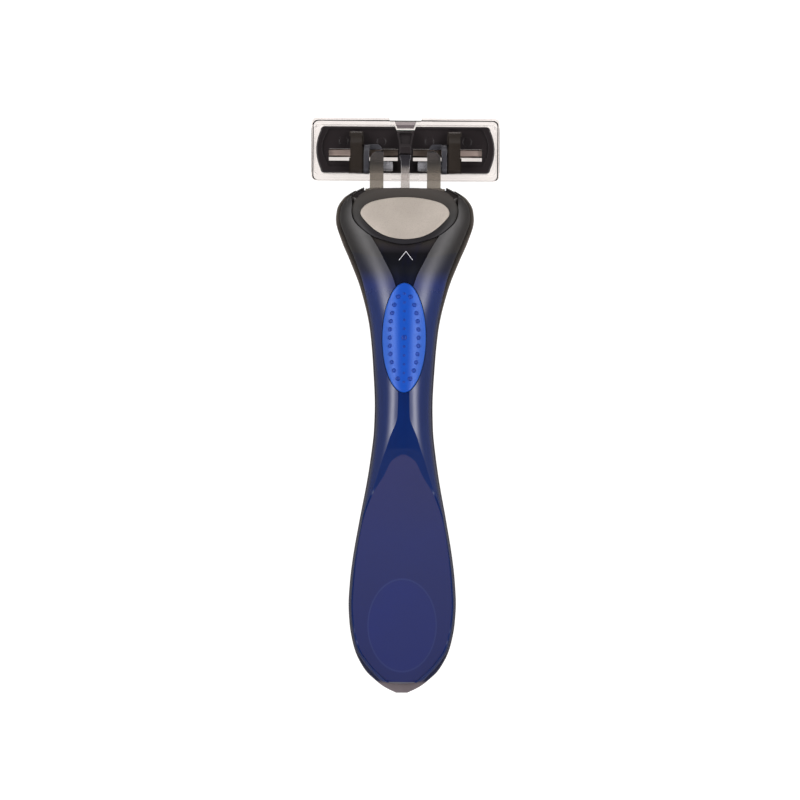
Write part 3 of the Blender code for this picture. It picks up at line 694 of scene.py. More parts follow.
def facet_material():
    """The flat tail facet: blue, a painted reflection that fades towards the butt, a painted highlight
    along its edge at the butt, and a faint oval.
    """
    finish = Finish("shell_facet", IOR=1.5, Coat_Weight=0.2, Coat_Roughness=0.05)
    y = finish.axis("Y")
    along = finish.span(y, -10.0, -64.0, smooth=False)
    # Lighter at the front and darker towards the butt: a painted reflection that fades towards the butt.
    base = finish.ramp(along, [(0.0, "1F2356"), (0.4, "182158"), (1.0, "0C1850")])
    # A painted highlight along the facet's edge at the butt.
    painted_rim_highlight = finish.mix(finish.span(y, -65.1, -65.4), base, "62626A")
    squares = []
    for offset, reach in zip((finish.axis("X"), finish.math("SUBTRACT", y, EMBLEM_Y)), EMBLEM_HALF):
        share = finish.math("DIVIDE", finish.math("ABSOLUTE", offset), reach)
        squares.append(finish.math("POWER", share, 2.0))
    oval = finish.math("ADD", *squares)
    off_line = finish.math("ABSOLUTE", finish.math("SUBTRACT", oval, 1.0))
    ring = finish.span(off_line, 0.05, 0.02, 0.0, 0.3)
    inside = finish.span(oval, 1.0, 0.9, 0.0, 0.35)
    marked = finish.mix(ring, finish.mix(inside, painted_rim_highlight, "10206A"), "33407C")
    finish.paint(marked, "1A2048", finish.noise(60, 3.0), (0.35, 0.7))
    return finish.surface(finish.noise(800, 4.0), (0.12, 0.2), finish.noise(250, 2.0), 0.003)


def grip_material(name, shade=0.0):
    """Soft blue rubber with a fine matte grain, painted paler towards its sides as a painted sheen."""
    finish = Finish(name, Specular_IOR_Level=0.28, Sheen_Weight=0.05, Sheen_Roughness=0.4)
    finish.shader.inputs["Sheen Tint"].default_value = colour("A8B4FF")
    # Paler towards the sides: a painted sheen where the rubber turns away.
    painted_sheen_sides = finish.span(finish.side(), 0.8, 3.4)
    base = finish.ramp(painted_sheen_sides, [(0.0, "0A49AE"), (0.6, "2A5FC2"), (1.0, "3260BE")])
    dark = finish.mix(shade, base, "0A2C84")
    grain = finish.noise(2600, 5.0)
    finish.paint(dark, "0D3590", grain, (0.4, 0.7), 0.15)
    return finish.surface(grain, (0.3, 0.42), grain, 0.008)


def plate_material():
    """The button's plate: smoke plastic, darker towards its rear."""
    finish = Finish("smoke_plate", IOR=1.2)
    base = finish.ramp(finish.span(finish.axis("Y"), 38.0, 50.5, smooth=False), PLATE_TINTS)
    finish.paint(base, "1C1B1B", finish.noise(120, 4.0, (0.3, 1.0, 1.0)), share=0.25)
    return finish.surface(finish.noise(900, 3.0), (0.1, 0.17), finish.noise(300, 2.0), 0.0015)


def badge_material():
    """Matte silver paint with a fine fleck."""
    finish = Finish("badge_silver", Metallic=0.25, IOR=1.45)
    fleck = finish.noise(3800, 4.0)
    base = finish.mix(finish.span(finish.noise(140, 3.0), 0.35, 0.7), "AAA298", "B4ACA2")
    finish.paint(base, "9A9288", fleck, (0.45, 0.7), 0.35)
    return finish.surface(fleck, (0.42, 0.58), fleck, 0.004)


def clear_material(name, tint, rough=(0.02, 0.05), weight=1.0, coat=0.0, ior=1.49):
    """Clear or tinted plastic that light passes through."""
    finish = Finish(name, Transmission_Weight=weight, IOR=ior, Coat_Weight=coat, Coat_Roughness=0.05)
    finish.paint(finish.mix(finish.span(finish.noise(160, 3.0), 0.35, 0.7), *tint))
    return finish.surface(finish.noise(800, 3.0), rough, finish.noise(300, 2.0), 0.003)


def graded_clear_material(name, tints, weight):
    """Tinted plastic, its tint given as (Y, sRGB code) pairs; here these also paint light and shade from
    what lies behind the piece.
    """
    finish = Finish(name, Transmission_Weight=weight, IOR=1.49, Coat_Weight=0.4, Coat_Roughness=0.05)
    start, end = tints[0][0], tints[-1][0]
    along = finish.span(finish.axis("Y"), start, end, smooth=False)
    tint = finish.ramp(along, [((spot - start) / (end - start), code) for spot, code in tints])
    finish.paint(tint, "4A4744", finish.noise(160, 3.0), (0.35, 0.7), 0.15)
    return finish.surface(finish.noise(800, 3.0), (0.08, 0.14), finish.noise(300, 2.0), 0.003)


def metal_material(name, base, dark, rough, along=GRAIN):
    """Rolled or ground steel with a fine grain along X."""
    finish = Finish(name, Metallic=1.0)
    grain = finish.noise(2400, 4.0, along)
    finish.paint(finish.ramp(grain, [(0.3, dark), (0.7, base)]))
    return finish.surface(grain, rough, grain, 0.004)


def support_material():
    """Brownish pressed steel, in shade towards the middle of the cartridge."""
    finish = Finish("support_steel", Metallic=0.1)
    grain = finish.noise(2400, 4.0, GRAIN)
    outer = finish.ramp(grain, [(0.3, "A08E85"), (0.7, "BCA99F")])
    inner = finish.ramp(grain, [(0.3, "7E6E62"), (0.7, "8E7E72")])
    finish.paint(finish.mix(finish.span(finish.side(), 8.0, 11.0), inner, outer))
    return finish.surface(grain, (0.45, 0.6), grain, 0.004)


def white_print_material():
    """White ink, slightly worn."""
    finish = Finish("arrow_print")
    finish.paint(finish.ramp(finish.noise(900, 2.0), [(0.3, "D8DAE0"), (0.7, "F4F5F8")]))
    return finish.surface(finish.noise(900, 2.0), (0.4, 0.6), None, 0.0)


MATERIALS = {
    "ridge": shell_material(),
    "valley": valley_material(),
    "facet": facet_material(),
    "smoke": plate_material(),
    "rim": rim_material(),
    "core": moulded("core_blue", "142A78", "0E1C58", (0.2, 0.3), IOR=1.5),
    "rubber": grip_material("thumb_rubber"),
    "nubs": grip_material("thumb_rubber_nubs", 0.75),
    "badge": badge_material(),
    # The yoke's tint: lighter in front of the cartridge, painted light from the floor behind, and darker
    # over the cartridge, painted shade.
    "arms": graded_clear_material(
        "smoke_clear", [(50.5, "A89F93"), (54.5, "8A8278"), (56.5, "5B5753"), (60.0, "524E50")], 0.6
    ),
    "journal": clear_material("journal_clear", ("55555A", "48484E"), (0.1, 0.16), 0.4, 0.7),
    "pins": clear_material("pin_clear", ("A6A6AA", "8E8E92"), (0.2, 0.3), 0.35, 0.6),
    # The plunger's tint: light at its near end, painted light from the floor behind, and dark over the
    # cartridge, painted shade.
    "tongue": graded_clear_material(
        "tongue_clear", [(50.0, "DCD5D0"), (54.9, "CFC8C3"), (56.2, "5A585E"), (59.0, "44424A")], 0.7
    ),
    "clear": clear_material("guard_clear", ("E6E0DC", "E0D9D5"), (0.02, 0.05), ior=1.32),
    # A darker copy of the clear plastic for the snap hook: painted shade for the dark seen through it.
    "clear_shaded": clear_material("guard_clear_shaded", ("7A7072", "6E6466"), (0.05, 0.1), 0.6),
    "black": moulded("black_moulding", "2B2728", "231F20", (0.1, 0.18), 0.001, IOR=1.42),
    "bracket": moulded("bracket_moulding", "2D2824", "231E1A", (0.14, 0.22), 0.002, IOR=1.42),
    "recess": moulded("recess_smoke", "4A4642", "3C3936", (0.3, 0.4), IOR=1.42),
    "dark": moulded("ejector_moulding", "2A2A2A", "1C1C1C", (0.35, 0.45)),
    "fins": moulded("guard_rubber", "1B2A5C", "141F46", (0.5, 0.65)),
    "strip": moulded("lubricating_wax", "B9D9CB", "9CC4B4", (0.45, 0.6)),
    "blade": metal_material("blade_steel", "D5D4D0", "B4B2AD", (0.12, 0.2)),
    "support": support_material(),
    "spring": metal_material("spring_wire", "B8B8B6", "8C8C8A", (0.2, 0.3), (1.0, 1.0, 1.0)),
    "print": white_print_material(),
}


def fit(obj, body, slot, *nodes):
    """Evens out a piece's shading, then gives it its body and hides the CAD nodes it replaces. The slot
    is not used.
    """
    modifier = obj.modifiers.new("even", "WEIGHTED_NORMAL")
    modifier.keep_sharp = True
    settle(obj)
    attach(obj, body)
    if nodes:
        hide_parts(*nodes)


def coat(obj, material):
    """Gives every face of a piece one material."""
    obj.data.materials.clear()
    obj.data.materials.append(MATERIALS[material])
    for face in obj.data.polygons:
        face.material_index = 0
    return obj


def dress(obj, material, body, slot, *nodes):
    """Gives a piece of one material that material, then fits it."""
    fit(coat(obj, material), body, slot, *nodes)


# ---- Handle ----

def button_top(x, y):
    """Height of the plate's top, level with the dome, which it follows up to the front."""
    return dome_height(x, min(y, 50.5)) + 0.1


def button_bottom(x, y):
    """Height of the plate's underside, which falls towards its sides."""
    return 11.9 - 0.3 * max(0.0, abs(x) - 8.5)


def swept(outline, middle_y, reach):
    """The outline with its part in front of middle_y moved forwards."""
    return [(x, y + reach if y > middle_y else y) for x, y in outline]


def grip_outline(grow=0.0, count=96):
    half_x, half_y = GRIP_HALF_X + grow, GRIP_HALF_Y + grow
    angles = [2 * math.pi * i / count for i in range(count)]
    return [(half_x * math.cos(t), GRIP_CENTRE_Y + half_y * math.sin(t)) for t in angles]


def grip_height(x, y):
    """Height of the grip's top, which swells above the dome in its middle."""
    share = (x / GRIP_HALF_X) ** 2 + ((y - GRIP_CENTRE_Y) / GRIP_HALF_Y) ** 2
    return dome_height(x, y) + 0.5 * max(0.0, 1 - share)


def upper_shell():
    """The handle's top, with room for the button, the grip and the parts in the head."""
    zones = ("ridge", "valley", "facet")
    bm = bmesh.new()
    rows, kinds = [], []
    for y in spaced(UPPER_START_Y, UPPER_END_Y, 0.8):
        side = upper_half_section(y)
        bend = END_BEND * max(0.0, (END_BEND_START - y) / (END_BEND_START - UPPER_END_Y))
        ring = [(-x, z) for x, z, _ in reversed(side)] + [(x, z) for x, z, _ in side[1:]]
        rows.append([bm.verts.new((x, y + bend * x * x, z)) for x, z in ring])
        names = [kind for _, _, kind in side]
        kinds.append([names[k] for k in range(len(names) - 1, 0, -1)] + names[1:])
    for row, following, kind in zip(rows, rows[1:], kinds):
        for i in range(len(row) - 1):
            face = bm.faces.new((row[i], row[i + 1], following[i + 1], following[i]))
            face.material_index = zones.index(kind[i])
    for row, following in zip(rows, rows[1:]):
        bm.faces.new((row[-1], row[0], following[0], following[-1]))
    bm.faces.new(rows[0])
    bm.faces.new(list(reversed(rows[-1])))
    shell = to_object("upper_shell", bm, 14)
    for zone in zones:
        shell.data.materials.append(MATERIALS[zone])
    outline = grown(smooth_outline(BUTTON_HALF), BUTTON_CENTRE, SEAM)
    recess = patch(
        "recess", swept(outline, *BUTTON_REACH), BUTTON_CENTRE,
        lambda x, y: 22.0, lambda x, y: button_bottom(x, y) - 0.3, rings=1,
    )
    seat = patch(
        "seat", grip_outline(SEAM), (0.0, GRIP_CENTRE_Y), lambda x, y: 24.0,
        lambda x, y: dome_height(x, y) - 1.4, rings=1,
    )
    cutters = [recess, seat] + [middle_block(*room) for room in UPPER_ROOMS]
    for cutter in cutters:
        coat(cutter, "recess")
    combine(shell, cutters, "DIFFERENCE", 14)
    fit(shell, "handle", "smoke_plastic", "handle_upper_shell")


def lower_section(y, segments=28):
    """The lower shell's section, as an open bowl below the parting."""
    half, bottom, _ = row_values(HANDLE_ROWS, y)
    parting = parting_height(y) - SEAM / 2
    ring = []
    for i in range(segments + 1):
        t = math.pi * i / segments
        x = -half * math.copysign(abs(math.cos(t)) ** 0.85, math.cos(t))
        ring.append((x, y, parting - (parting - bottom) * math.sin(t) ** 0.85))
    return ring


def core_section(y, grow, segments=40):
    """The core's section, or with some growth that of the space around it."""
    half, bottom, crest = row_values(HANDLE_ROWS, y)
    parting = parting_height(y)
    top = parting + 0.84 * (crest - parting) - 1.3 + grow
    low = bottom + 1.9 - grow
    width = half - 2.4 + grow
    middle, reach = (top + low) / 2, (top - low) / 2
    ring = []
    for i in range(segments):
        t = 2 * math.pi * i / segments
        c, s = math.cos(t), math.sin(t)
        x = width * math.copysign(abs(c) ** 0.8, c)
        ring.append((x, y, middle + reach * math.copysign(abs(s) ** 0.8, s)))
    return ring


def lower_shell():
    """The underside of the handle, and the core inside both shells."""
    shell = stack("lower_shell", [lower_section(y) for y in spaced(51.0, HANDLE_ROWS[-1][0], 1.5)], 40)
    hollow = stack("hollow", [core_section(y, 0.1) for y in spaced(32.7, -63.5, 2.5)], 40)
    rooms = [middle_block(*room) for room in LOWER_ROOMS]
    combine(shell, [hollow, *rooms], "DIFFERENCE", 30)
    dress(shell, "rim", "handle", "smoke_plastic", "handle_lower_shell")
    core = stack("core", [core_section(y, 0.0) for y in spaced(32.6, -63.4, 2.0)], 40)
    dress(core, "core", "handle", "blue_plastic", "handle_core")


NUB_SIZE = (0.56, 0.3)  # radius and height of a nub in the two curved rows
DOT_SIZE = (0.34, 0.08)  # and of one on the middle line
EYE_SIZE = (0.68, 0.2)  # and of the one at the centre
NUB_PITCH, DOT_PITCH = 1.9, 2.05
NUB_CURVE = (3.31, 10.5)  # half width and half length of the oval that the rows follow
NUB_ROUNDS = 5


def thumb_grip():
    """The rubber grip and its nubs."""
    grip = patch(
        "thumb_grip", grip_outline(), (0.0, GRIP_CENTRE_Y), grip_height,
        lambda x, y: dome_height(x, y) - 1.2, rings=16, edge=0.3,
    )
    dress(grip, "rubber", "handle", "blue_rubber", "grip_insert")
    bm = bmesh.new()

    def nub(x, y, size):
        """A low round nub, square to the grip's surface."""
        radius, height = size
        slope_x = (grip_height(x + 0.1, y) - grip_height(x - 0.1, y)) / 0.2
        slope_y = (grip_height(x, y + 0.1) - grip_height(x, y - 0.1)) / 0.2
        upright = Vector((-slope_x, -slope_y, 1.0)).normalized()
        matrix = Matrix.Translation((x, y, grip_height(x, y) - height * 0.35))
        matrix = matrix @ upright.to_track_quat("Z", "Y").to_matrix().to_4x4()
        matrix = matrix @ Matrix.Diagonal((radius, radius, height * 1.35, 1.0))
        bmesh.ops.create_uvsphere(bm, u_segments=20, v_segments=12, radius=1.0, matrix=matrix)

    for k in range(-NUB_ROUNDS, NUB_ROUNDS + 1):
        y = NUB_PITCH * k
        x = NUB_CURVE[0] * math.sqrt(1 - (y / NUB_CURVE[1]) ** 2)
        for side in (-1, 1):
            nub(side * x, GRIP_CENTRE_Y + y, NUB_SIZE)
    for k in range(-NUB_ROUNDS, NUB_ROUNDS + 1):
        if k:
            nub(0.0, GRIP_CENTRE_Y + DOT_PITCH * k, DOT_SIZE)
    nub(0.0, GRIP_CENTRE_Y, EYE_SIZE)
    nubs = to_object("thumb_grip_nubs", bm, 60)
    dress(nubs, "nubs", "handle", "blue_rubber")


def valley_floor(x, y):
    """Height of the upper shell's surface at a place inside the valley."""
    side = upper_half_section(y)
    for (x0, z0, _), (x1, z1, _) in zip(side, side[1:]):
        if x0 <= abs(x) <= x1 and x1 > x0:
            return z0 + (z1 - z0) * (abs(x) - x0) / (x1 - x0)
    return dome_height(x, y)


ARROW_APEX = Vector((0.3, 35.8))
ARROW_SPREAD, ARROW_FOOT_Y = 1.6, 33.7
ARROW_HALF_LINE = 0.05
ARROW_LIFTS = (-0.05, 0.03)  # the print's underside and top above the valley floor
ARROW_STEPS = 8


def arrow_mark():
    """The small push-forward arrow printed on the valley floor."""
    legs = []
    for side in (-1, 1):
        foot = Vector((ARROW_APEX.x + side * ARROW_SPREAD, ARROW_FOOT_Y))
        direction = (ARROW_APEX - foot).normalized()
        across = Vector((-direction.y, direction.x)) * ARROW_HALF_LINE
        rings = []
        for i in range(ARROW_STEPS + 1):
            ring = []
            for shift, lift in ((-1, 0), (1, 0), (1, 1), (-1, 1)):
                p = foot.lerp(ARROW_APEX, i / ARROW_STEPS) + across * shift
                ring.append((p.x, p.y, valley_floor(p.x, p.y) + ARROW_LIFTS[lift]))
            rings.append(ring)
        legs.append(stack(f"arrow_{side}", rings, 40))
    arrow = combine(legs[0], [legs[1]], "UNION", 40)
    arrow.name = "arrow_mark"
    dress(arrow, "print", "handle", "smoke_plastic")


def button():
    """The sliding plate and the badge in its pocket."""
    outline = smooth_outline(BUTTON_HALF)
    plate = patch("push_button", outline, BUTTON_CENTRE, button_top, button_bottom, rings=14, edge=0.25)
    pocket = patch(
        "pocket", grown(smooth_outline(BADGE_HALF), BUTTON_CENTRE, 0.08), BUTTON_CENTRE,
        lambda x, y: 22.0, lambda x, y: button_top(x, y) - 0.5, rings=8,
    )
    combine(plate, [pocket], "DIFFERENCE", 30)
    dress(plate, "smoke", "release", "smoke_plastic", "release_button")
    badge = patch(
        "silver_badge", smooth_outline(BADGE_HALF), BUTTON_CENTRE, lambda x, y: button_top(x, y) + 0.12,
        lambda x, y: button_top(x, y) - 0.4, rings=14, edge=0.16,
    )
    dress(badge, "badge", "release", "silver_paint", "button_badge")


# ---- Yoke, plunger and journals ----

PIVOT = Vector(next(j for j in frame["joints"] if j["name"] == "cartridge_tilt")["pos_m"]) / MM
NOSE_RADIUS = 3.6
ARM_SPAN, ARM_BOTTOM, ARM_TOP = (5.1, 8.3), 6.3, 10.1
ARM_CORNER = 2.3
BORE_RADIUS, PIN_RADIUS = 1.45, 1.15
# Room in the yoke's base for the plunger, its spring and the fork: name, half width, Y, Z.
YOKE_ROOMS = (
    ("channel", 2.3, (43.9, 49.0), (8.0, 11.0)),
    ("mouth", 1.45, (48.0, 52.0), (8.0, 11.0)),
    ("notch", 2.9, (42.0, 44.1), (9.5, 11.0)),
)


def pivot_rod(name, radius, start, end, segments=32):
    """A round rod on the cartridge's tilt axis."""
    return rod(name, radius, (start, PIVOT.y, PIVOT.z), (end, PIVOT.y, PIVOT.z), segments)


def yoke():
    """The base in the head and the two arms that hold the journals."""
    low, high = cad("yoke")
    nose = arc(PIVOT.y, PIVOT.z, NOSE_RADIUS, -4.8, 33.7, 12)
    profile = [(46.0, ARM_BOTTOM), (PIVOT.y + 0.9, ARM_BOTTOM)] + nose + [(46.0, ARM_TOP)]
    inner, outer = ARM_SPAN
    corner = arc(outer - ARM_CORNER, high.y - ARM_CORNER, ARM_CORNER, 0, 90, 10)
    plan = [(inner - 1, 45.0), (outer, 45.0)] + corner + [(inner - 1, high.y)]
    arms = []
    for side in (-1, 1):
        arm = side_prism(f"arm_{side}", side, ARM_SPAN, profile)
        limit = prism(f"limit_{side}", [(side * x, y) for x, y in plan], "Z", 0.0, 20.0)
        combine(arm, [limit], "INTERSECT")
        bore = pivot_rod(f"bore_{side}", BORE_RADIUS, side * 4.5, side * 9.0)
        arms.append(combine(arm, [bore], "DIFFERENCE"))
    base = block("yoke_mould", (low.x, low.y, 6.5), (high.x, 50.6, 10.4))
    combine(base, arms, "UNION")
    combine(base, [middle_block(*room) for room in YOKE_ROOMS], "DIFFERENCE")
    rounded(base, 0.3)
    dress(base, "arms", "handle", "grey_clear_plastic", "yoke")


def plunger():
    """The clear tongue that presses on the cartridge's cam."""
    low, high = cad("plunger")
    outline = [
        (1.4, high.y), (1.4, high.y - 0.6), (1.1, high.y - 1.6), (1.0, high.y - 4.0),
        (1.1, low.y + 1.3), (2.0, low.y + 1.3), (2.0, low.y),
    ]
    outline += [(-x, y) for x, y in reversed(outline)]
    tongue = rounded(prism("tongue", outline, "Z", low.z, ARM_TOP), 0.22)
    dress(tongue, "tongue", "plunger_body", "clear_plastic", "plunger")


EAR_SPAN, EAR_CORNER = (8.45, 9.75), 1.2
LEG_SPAN, LEG_Y, LEG_Z = (5.6, 8.8), (59.9, 61.2), (6.3, 7.3)


def journals():
    """The half shells outside the arms, each with a leg round the arm's nose and a pin."""
    for side, label in ((-1, "left"), (1, "right")):
        node = f"journal_{label}"
        low, high = cad(node)
        profile = [(low.y, low.z), (high.y, low.z), (high.y, low.z + 1.0)]
        profile += arc(58.9, 7.3, 2.3, 0, 80, 8) + arc(55.6, 8.1, 1.5, 95, 175, 6)
        ear = side_prism(f"half_shell_{label}", side, EAR_SPAN, profile)
        corner = arc(LEG_SPAN[0] + EAR_CORNER, LEG_Y[1] - EAR_CORNER, EAR_CORNER, 90, 180, 8)
        plan = [(LEG_SPAN[1], LEG_Y[0]), (LEG_SPAN[1], LEG_Y[1]), *corner, (LEG_SPAN[0], LEG_Y[0])]
        leg = prism(f"leg_{label}", [(side * x, y) for x, y in plan], "Z", *LEG_Z)
        tongue = side_block(f"tongue_{label}", side, (9.3, 11.2), (55.0, 60.0), (6.9, 8.3))
        combine(ear, [leg, tongue], "UNION")
        coat(ear, "journal")
        pin = pivot_rod(f"pin_{label}", PIN_RADIUS, side * 2.9, side * 8.9, 40)
        rounded(pin, 0.3, angle=60)
        combine(ear, [coat(pin, "pins")], "UNION")
        rounded(ear, 0.2, angle=50)
        fit(ear, "journals", "grey_clear_plastic", node)


COIL_STEPS = 24  # points in each turn of a spring


def spring(name, node, turns, wire=0.35):
    """A coil between its two seats."""
    low, high = cad(node)
    centre_z, radius = (low.z + high.z) / 2, (high.x - low.x - wire) / 2
    curve = bpy.data.curves.new(name, "CURVE")
    curve.dimensions = "3D"
    curve.bevel_depth = wire / 2 * MM
    curve.bevel_resolution = 3
    curve.use_fill_caps = True
    points = turns * COIL_STEPS
    spline = curve.splines.new("POLY")
    spline.points.add(points)
    for i in range(points + 1):
        angle = 2 * math.pi * i / COIL_STEPS
        y = low.y + wire / 2 + (high.y - low.y - wire) * i / points
        spot = (radius * math.cos(angle), y, centre_z + radius * math.sin(angle))
        spline.points[i].co = (*(Vector(spot) * MM), 1.0)
    coil = bpy.data.objects.new(name, curve)
    bpy.context.scene.collection.objects.link(coil)
    graph = bpy.context.evaluated_depsgraph_get()
    mesh = bpy.data.meshes.new_from_object(coil.evaluated_get(graph), depsgraph=graph)
    bpy.data.objects.remove(coil)
    coil = bpy.data.objects.new(name, mesh)
    bpy.context.scene.collection.objects.link(coil)
    dress(shade(coil, 60), "spring", "handle", "spring_steel", node)
    return coil, low, high


def springs():
    """The two springs."""
    coil, low, high = spring("return_coil", "button_spring", 7)
    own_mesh(coil)
    coil, low, high = spring("plunger_coil", "plunger_spring", 5)
    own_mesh(coil)


# ---- Cartridge ----

def hook_outline(grow=0.0):
    """Plan of the guard's snap hook, or with some growth the notch that it sits in."""
    half = [(2.5 + grow, 67.0), (2.5 + grow, 66.4), (1.9 + grow, 64.9 - grow)]
    return [(-x, y) for x, y in half] + [(x, y) for x, y in reversed(half)]


# The frame's rooms for what it carries: name, half width, Y span, Z span.
FRAME_ROOMS = (
    ("blade_space", 18.6, (57.2, 63.6), (0.0, 4.6)),
    ("guard_space", 18.9, (54.9, 56.6), (0.0, 3.2)),
    ("strip_space", 18.9, (63.9, 65.2), (0.0, 3.0)),
)
WINDOW_SPANS, WINDOW_Y = ((1.8, 8.6), (12.8, 18.0)), (57.4, 60.2)
MARK_PLACES, MARK_Y = (5.65, 14.6), 62.0  # faint round moulding marks
MARK_RADII = (1.1, 0.92)


def cartridge_frame():
    """The black frame, open for the blades below and the windows above."""
    low, high = cad("cartridge_frame")
    outline = barrel(high.x, 19.7, low.y, high.y, 1.0)
    body = rounded(prism("cartridge_body", outline, "Z", low.z, high.z), 0.35, angle=50)
    inner = barrel(high.x - 1.4, 18.2, low.y + 1.6, high.y - 0.6, 0.8)
    cutters = [prism("recess", inner, "Z", 5.5, 8.0)]
    cutters += [middle_block(*room) for room in FRAME_ROOMS]
    cutters.append(prism("hook_space", hook_outline(0.25), "Z", 0.0, 8.0))
    for side in (-1, 1):
        cutters += [side_block("window", side, span, WINDOW_Y, (4.0, 8.0)) for span in WINDOW_SPANS]
        for x in MARK_PLACES:
            centre = (side * x, MARK_Y)
            groove = rod("mark", MARK_RADII[0], (*centre, 5.38), (*centre, 6.4), 40)
            boss = rod("mark_boss", MARK_RADII[1], (*centre, 5.2), (*centre, 6.6), 40)
            cutters.append(combine(groove, [boss], "DIFFERENCE"))
    combine(body, cutters, "DIFFERENCE", 30)
    rounded(body, 0.12, 2, 50, 40)
    dress(body, "black", "cartridge", "black_plastic", "cartridge_frame")


def brackets():
    """The raised straps, each over a slot for a journal's tongue."""
    for side, label in ((-1, "left"), (1, "right")):
        node = f"bearing_bracket_{label}"
        low, high = cad(node)
        profile = [
            (low.y, 6.3), (56.3, 6.3), (56.3, low.z), (high.y, low.z), (high.y, 7.0), (63.2, 8.2),
            (60.6, high.z), (55.0, high.z), (low.y, 9.1),
        ]
        strap = side_prism(f"bracket_{label}", side, (10.2, 12.9), profile)
        details = (
            ("foot", (9.8, 13.2), [(low.y, 6.3), (58.0, 6.3), (58.0, 6.9), (57.2, 7.6), (low.y, 7.6)]),
            ("tab", (9.8, 10.6), [(61.0, 5.8), (63.3, 5.8), (63.3, 7.6), (61.0, 8.9)]),
            ("wall", (9.85, 10.6), [(54.9, 6.3), (60.5, 6.3), (60.5, 9.3), (54.9, 9.3)]),
            ("rib", (9.9, 13.2), [(63.0, 5.8), (64.2, 5.8), (64.2, 7.0), (63.0, 8.0)]),
        )
        pieces = [side_prism(name, side, span, outline) for name, span, outline in details]
        combine(strap, pieces, "UNION")
        slot = side_block("slot", side, (9.6, 11.5), (54.0, 60.3), (6.6, 8.6))
        combine(strap, [slot], "DIFFERENCE")
        rounded(strap, 0.16, 2)
        dress(strap, "bracket", "cartridge", "black_plastic", node)


def cam_ring(y, half, bottom, top):
    return [(-half, y, bottom), (half, y, bottom), (half, y, top), (-half, y, top)]


def centre_cam():
    """The hollow block in the middle that the plunger presses on."""
    low, high = cad("centre_cam")
    rows = ((low.y, 1.4, high.z), (60.4, 1.4, high.z), (61.0, 1.5, high.z - 0.4), (high.y, 2.1, 7.2))
    cam = stack("cam_block", [cam_ring(y, half, low.z, top) for y, half, top in rows])
    hollow = stack("hollow", [cam_ring(61.2, 1.0, 8.9, 12.0), cam_ring(63.8, 1.5, 6.9, 12.0)])
    combine(cam, [hollow], "DIFFERENCE")
    rounded(cam, 0.16, 2, 30)
    dress(cam, "black", "cartridge", "black_plastic", "centre_cam")


FINS = 4
FIN_GROOVE = 0.25  # depth between the fins


def guard_fins():
    """A rubber bar with fine fins, ahead of the blades."""
    low, high = cad("guard_bar")
    outline = [(high.y, high.z), (low.y, high.z)]
    pitch = (high.y - low.y) / FINS
    for k in range(FINS):
        start, root = low.y + pitch * k, low.z + FIN_GROOVE
        outline += [(start + 0.02, root), (start + pitch * 0.35, low.z)]
        outline += [(start + pitch * 0.55, low.z), (start + pitch * 0.92, root)]
    bar = prism("fin_bar", outline, "X", low.x, high.x)
    dress(bar, "fins", "cartridge", "guard_rubber", "guard_bar")


def soap_strip():
    """The lubricating strip behind the blades."""
    low, high = cad("lubricating_strip")
    section = [(low.y, low.z), (high.y, low.z), (high.y, high.z), (low.y, high.z)]
    bar = rounded(prism("soap_strip", section, "X", low.x, high.x), 0.15)
    dress(bar, "strip", "cartridge", "lubricant", "lubricating_strip")


def carried_over():
    """Materials for the CAD nodes that stay as they are."""
    materials = {"ejector_fork": "dark"}
    for number in (1, 2, 3):
        materials[f"blade_{number}"] = "blade"
        materials[f"blade_support_{number}"] = "support"
    for node, material in materials.items():
        mesh = frame["nodes"][node].data
        mesh.materials.clear()
        mesh.materials.append(MATERIALS[material])


GUARD_RIM_Z = 6.0
# Rows of: Z, inset from the CAD box, corner radius.
GUARD_OUTSIDE = (
    (0.0, 0.75, 1.0), (0.12, 0.5, 1.1), (0.45, 0.32, 1.2), (GUARD_RIM_Z - 0.25, 0.04, 1.3),
    (GUARD_RIM_Z, 0.2, 1.2),
)
# Rows of: Z, growth from the inner rectangle at the rim.
GUARD_INSIDE = ((1.0, -0.35), (1.3, -0.1), (GUARD_RIM_Z - 0.4, 0.0), (9.0, 0.5))
GUARD_ROOM = (21.3, 54.2, 65.8, 0.9)  # half width, near and far side, corner radius
HOOK_PROFILE = [(65.3, 5.2), (66.6, 4.2), (66.6, 6.5), (66.3, 6.7), (64.95, 6.7), (64.95, 6.3)]


def blade_guard():
    """The clear cover over the blades: drafted walls, a snap hook, and a notch to pull it by."""
    low, high = cad("protective_cap")
    rings = []
    for z, inset, radius in GUARD_OUTSIDE:
        sides = (low.x + inset, low.y + inset, high.x - inset, high.y - inset)
        rings.append([(x, y, z) for x, y in rounded_rectangle(*sides, radius)])
    cover = stack("blade_cover", rings, 40)
    half, near, far, radius = GUARD_ROOM
    rings = []
    for z, grow in GUARD_INSIDE:
        sides = (-half - grow, near - grow, half + grow, far + grow)
        rings.append([(x, y, z) for x, y in rounded_rectangle(*sides, radius)])
    combine(cover, [stack("space", rings, 40)], "DIFFERENCE", 35)
    notch = rounded(middle_block("notch", 3.75, (66.55, 69.0), (1.4, 9.0)), 0.3)
    combine(cover, [notch], "DIFFERENCE", 35)
    coat(cover, "clear")
    hook = prism("hook", HOOK_PROFILE, "X", -2.5, 2.5)
    combine(hook, [prism("taper", hook_outline(), "Z", 0.0, 9.0)], "INTERSECT")
    tab = rounded(middle_block("tab", 3.3, (52.95, 54.1), (4.5, 6.9)), 0.25)
    # The snap hook takes the darker copy of the clear plastic, painted shade.
    combine(cover, [coat(hook, "clear_shaded"), coat(tab, "clear")], "UNION", 35)
    cover.visible_shadow = False
    fit(cover, "guard", "clear_plastic", "protective_cap")


# ---- Table, studio and camera ----

TABLE_HALF = 3000
TABLE_DROP = 0.05  # keeps the table clear of the razor's lowest faces


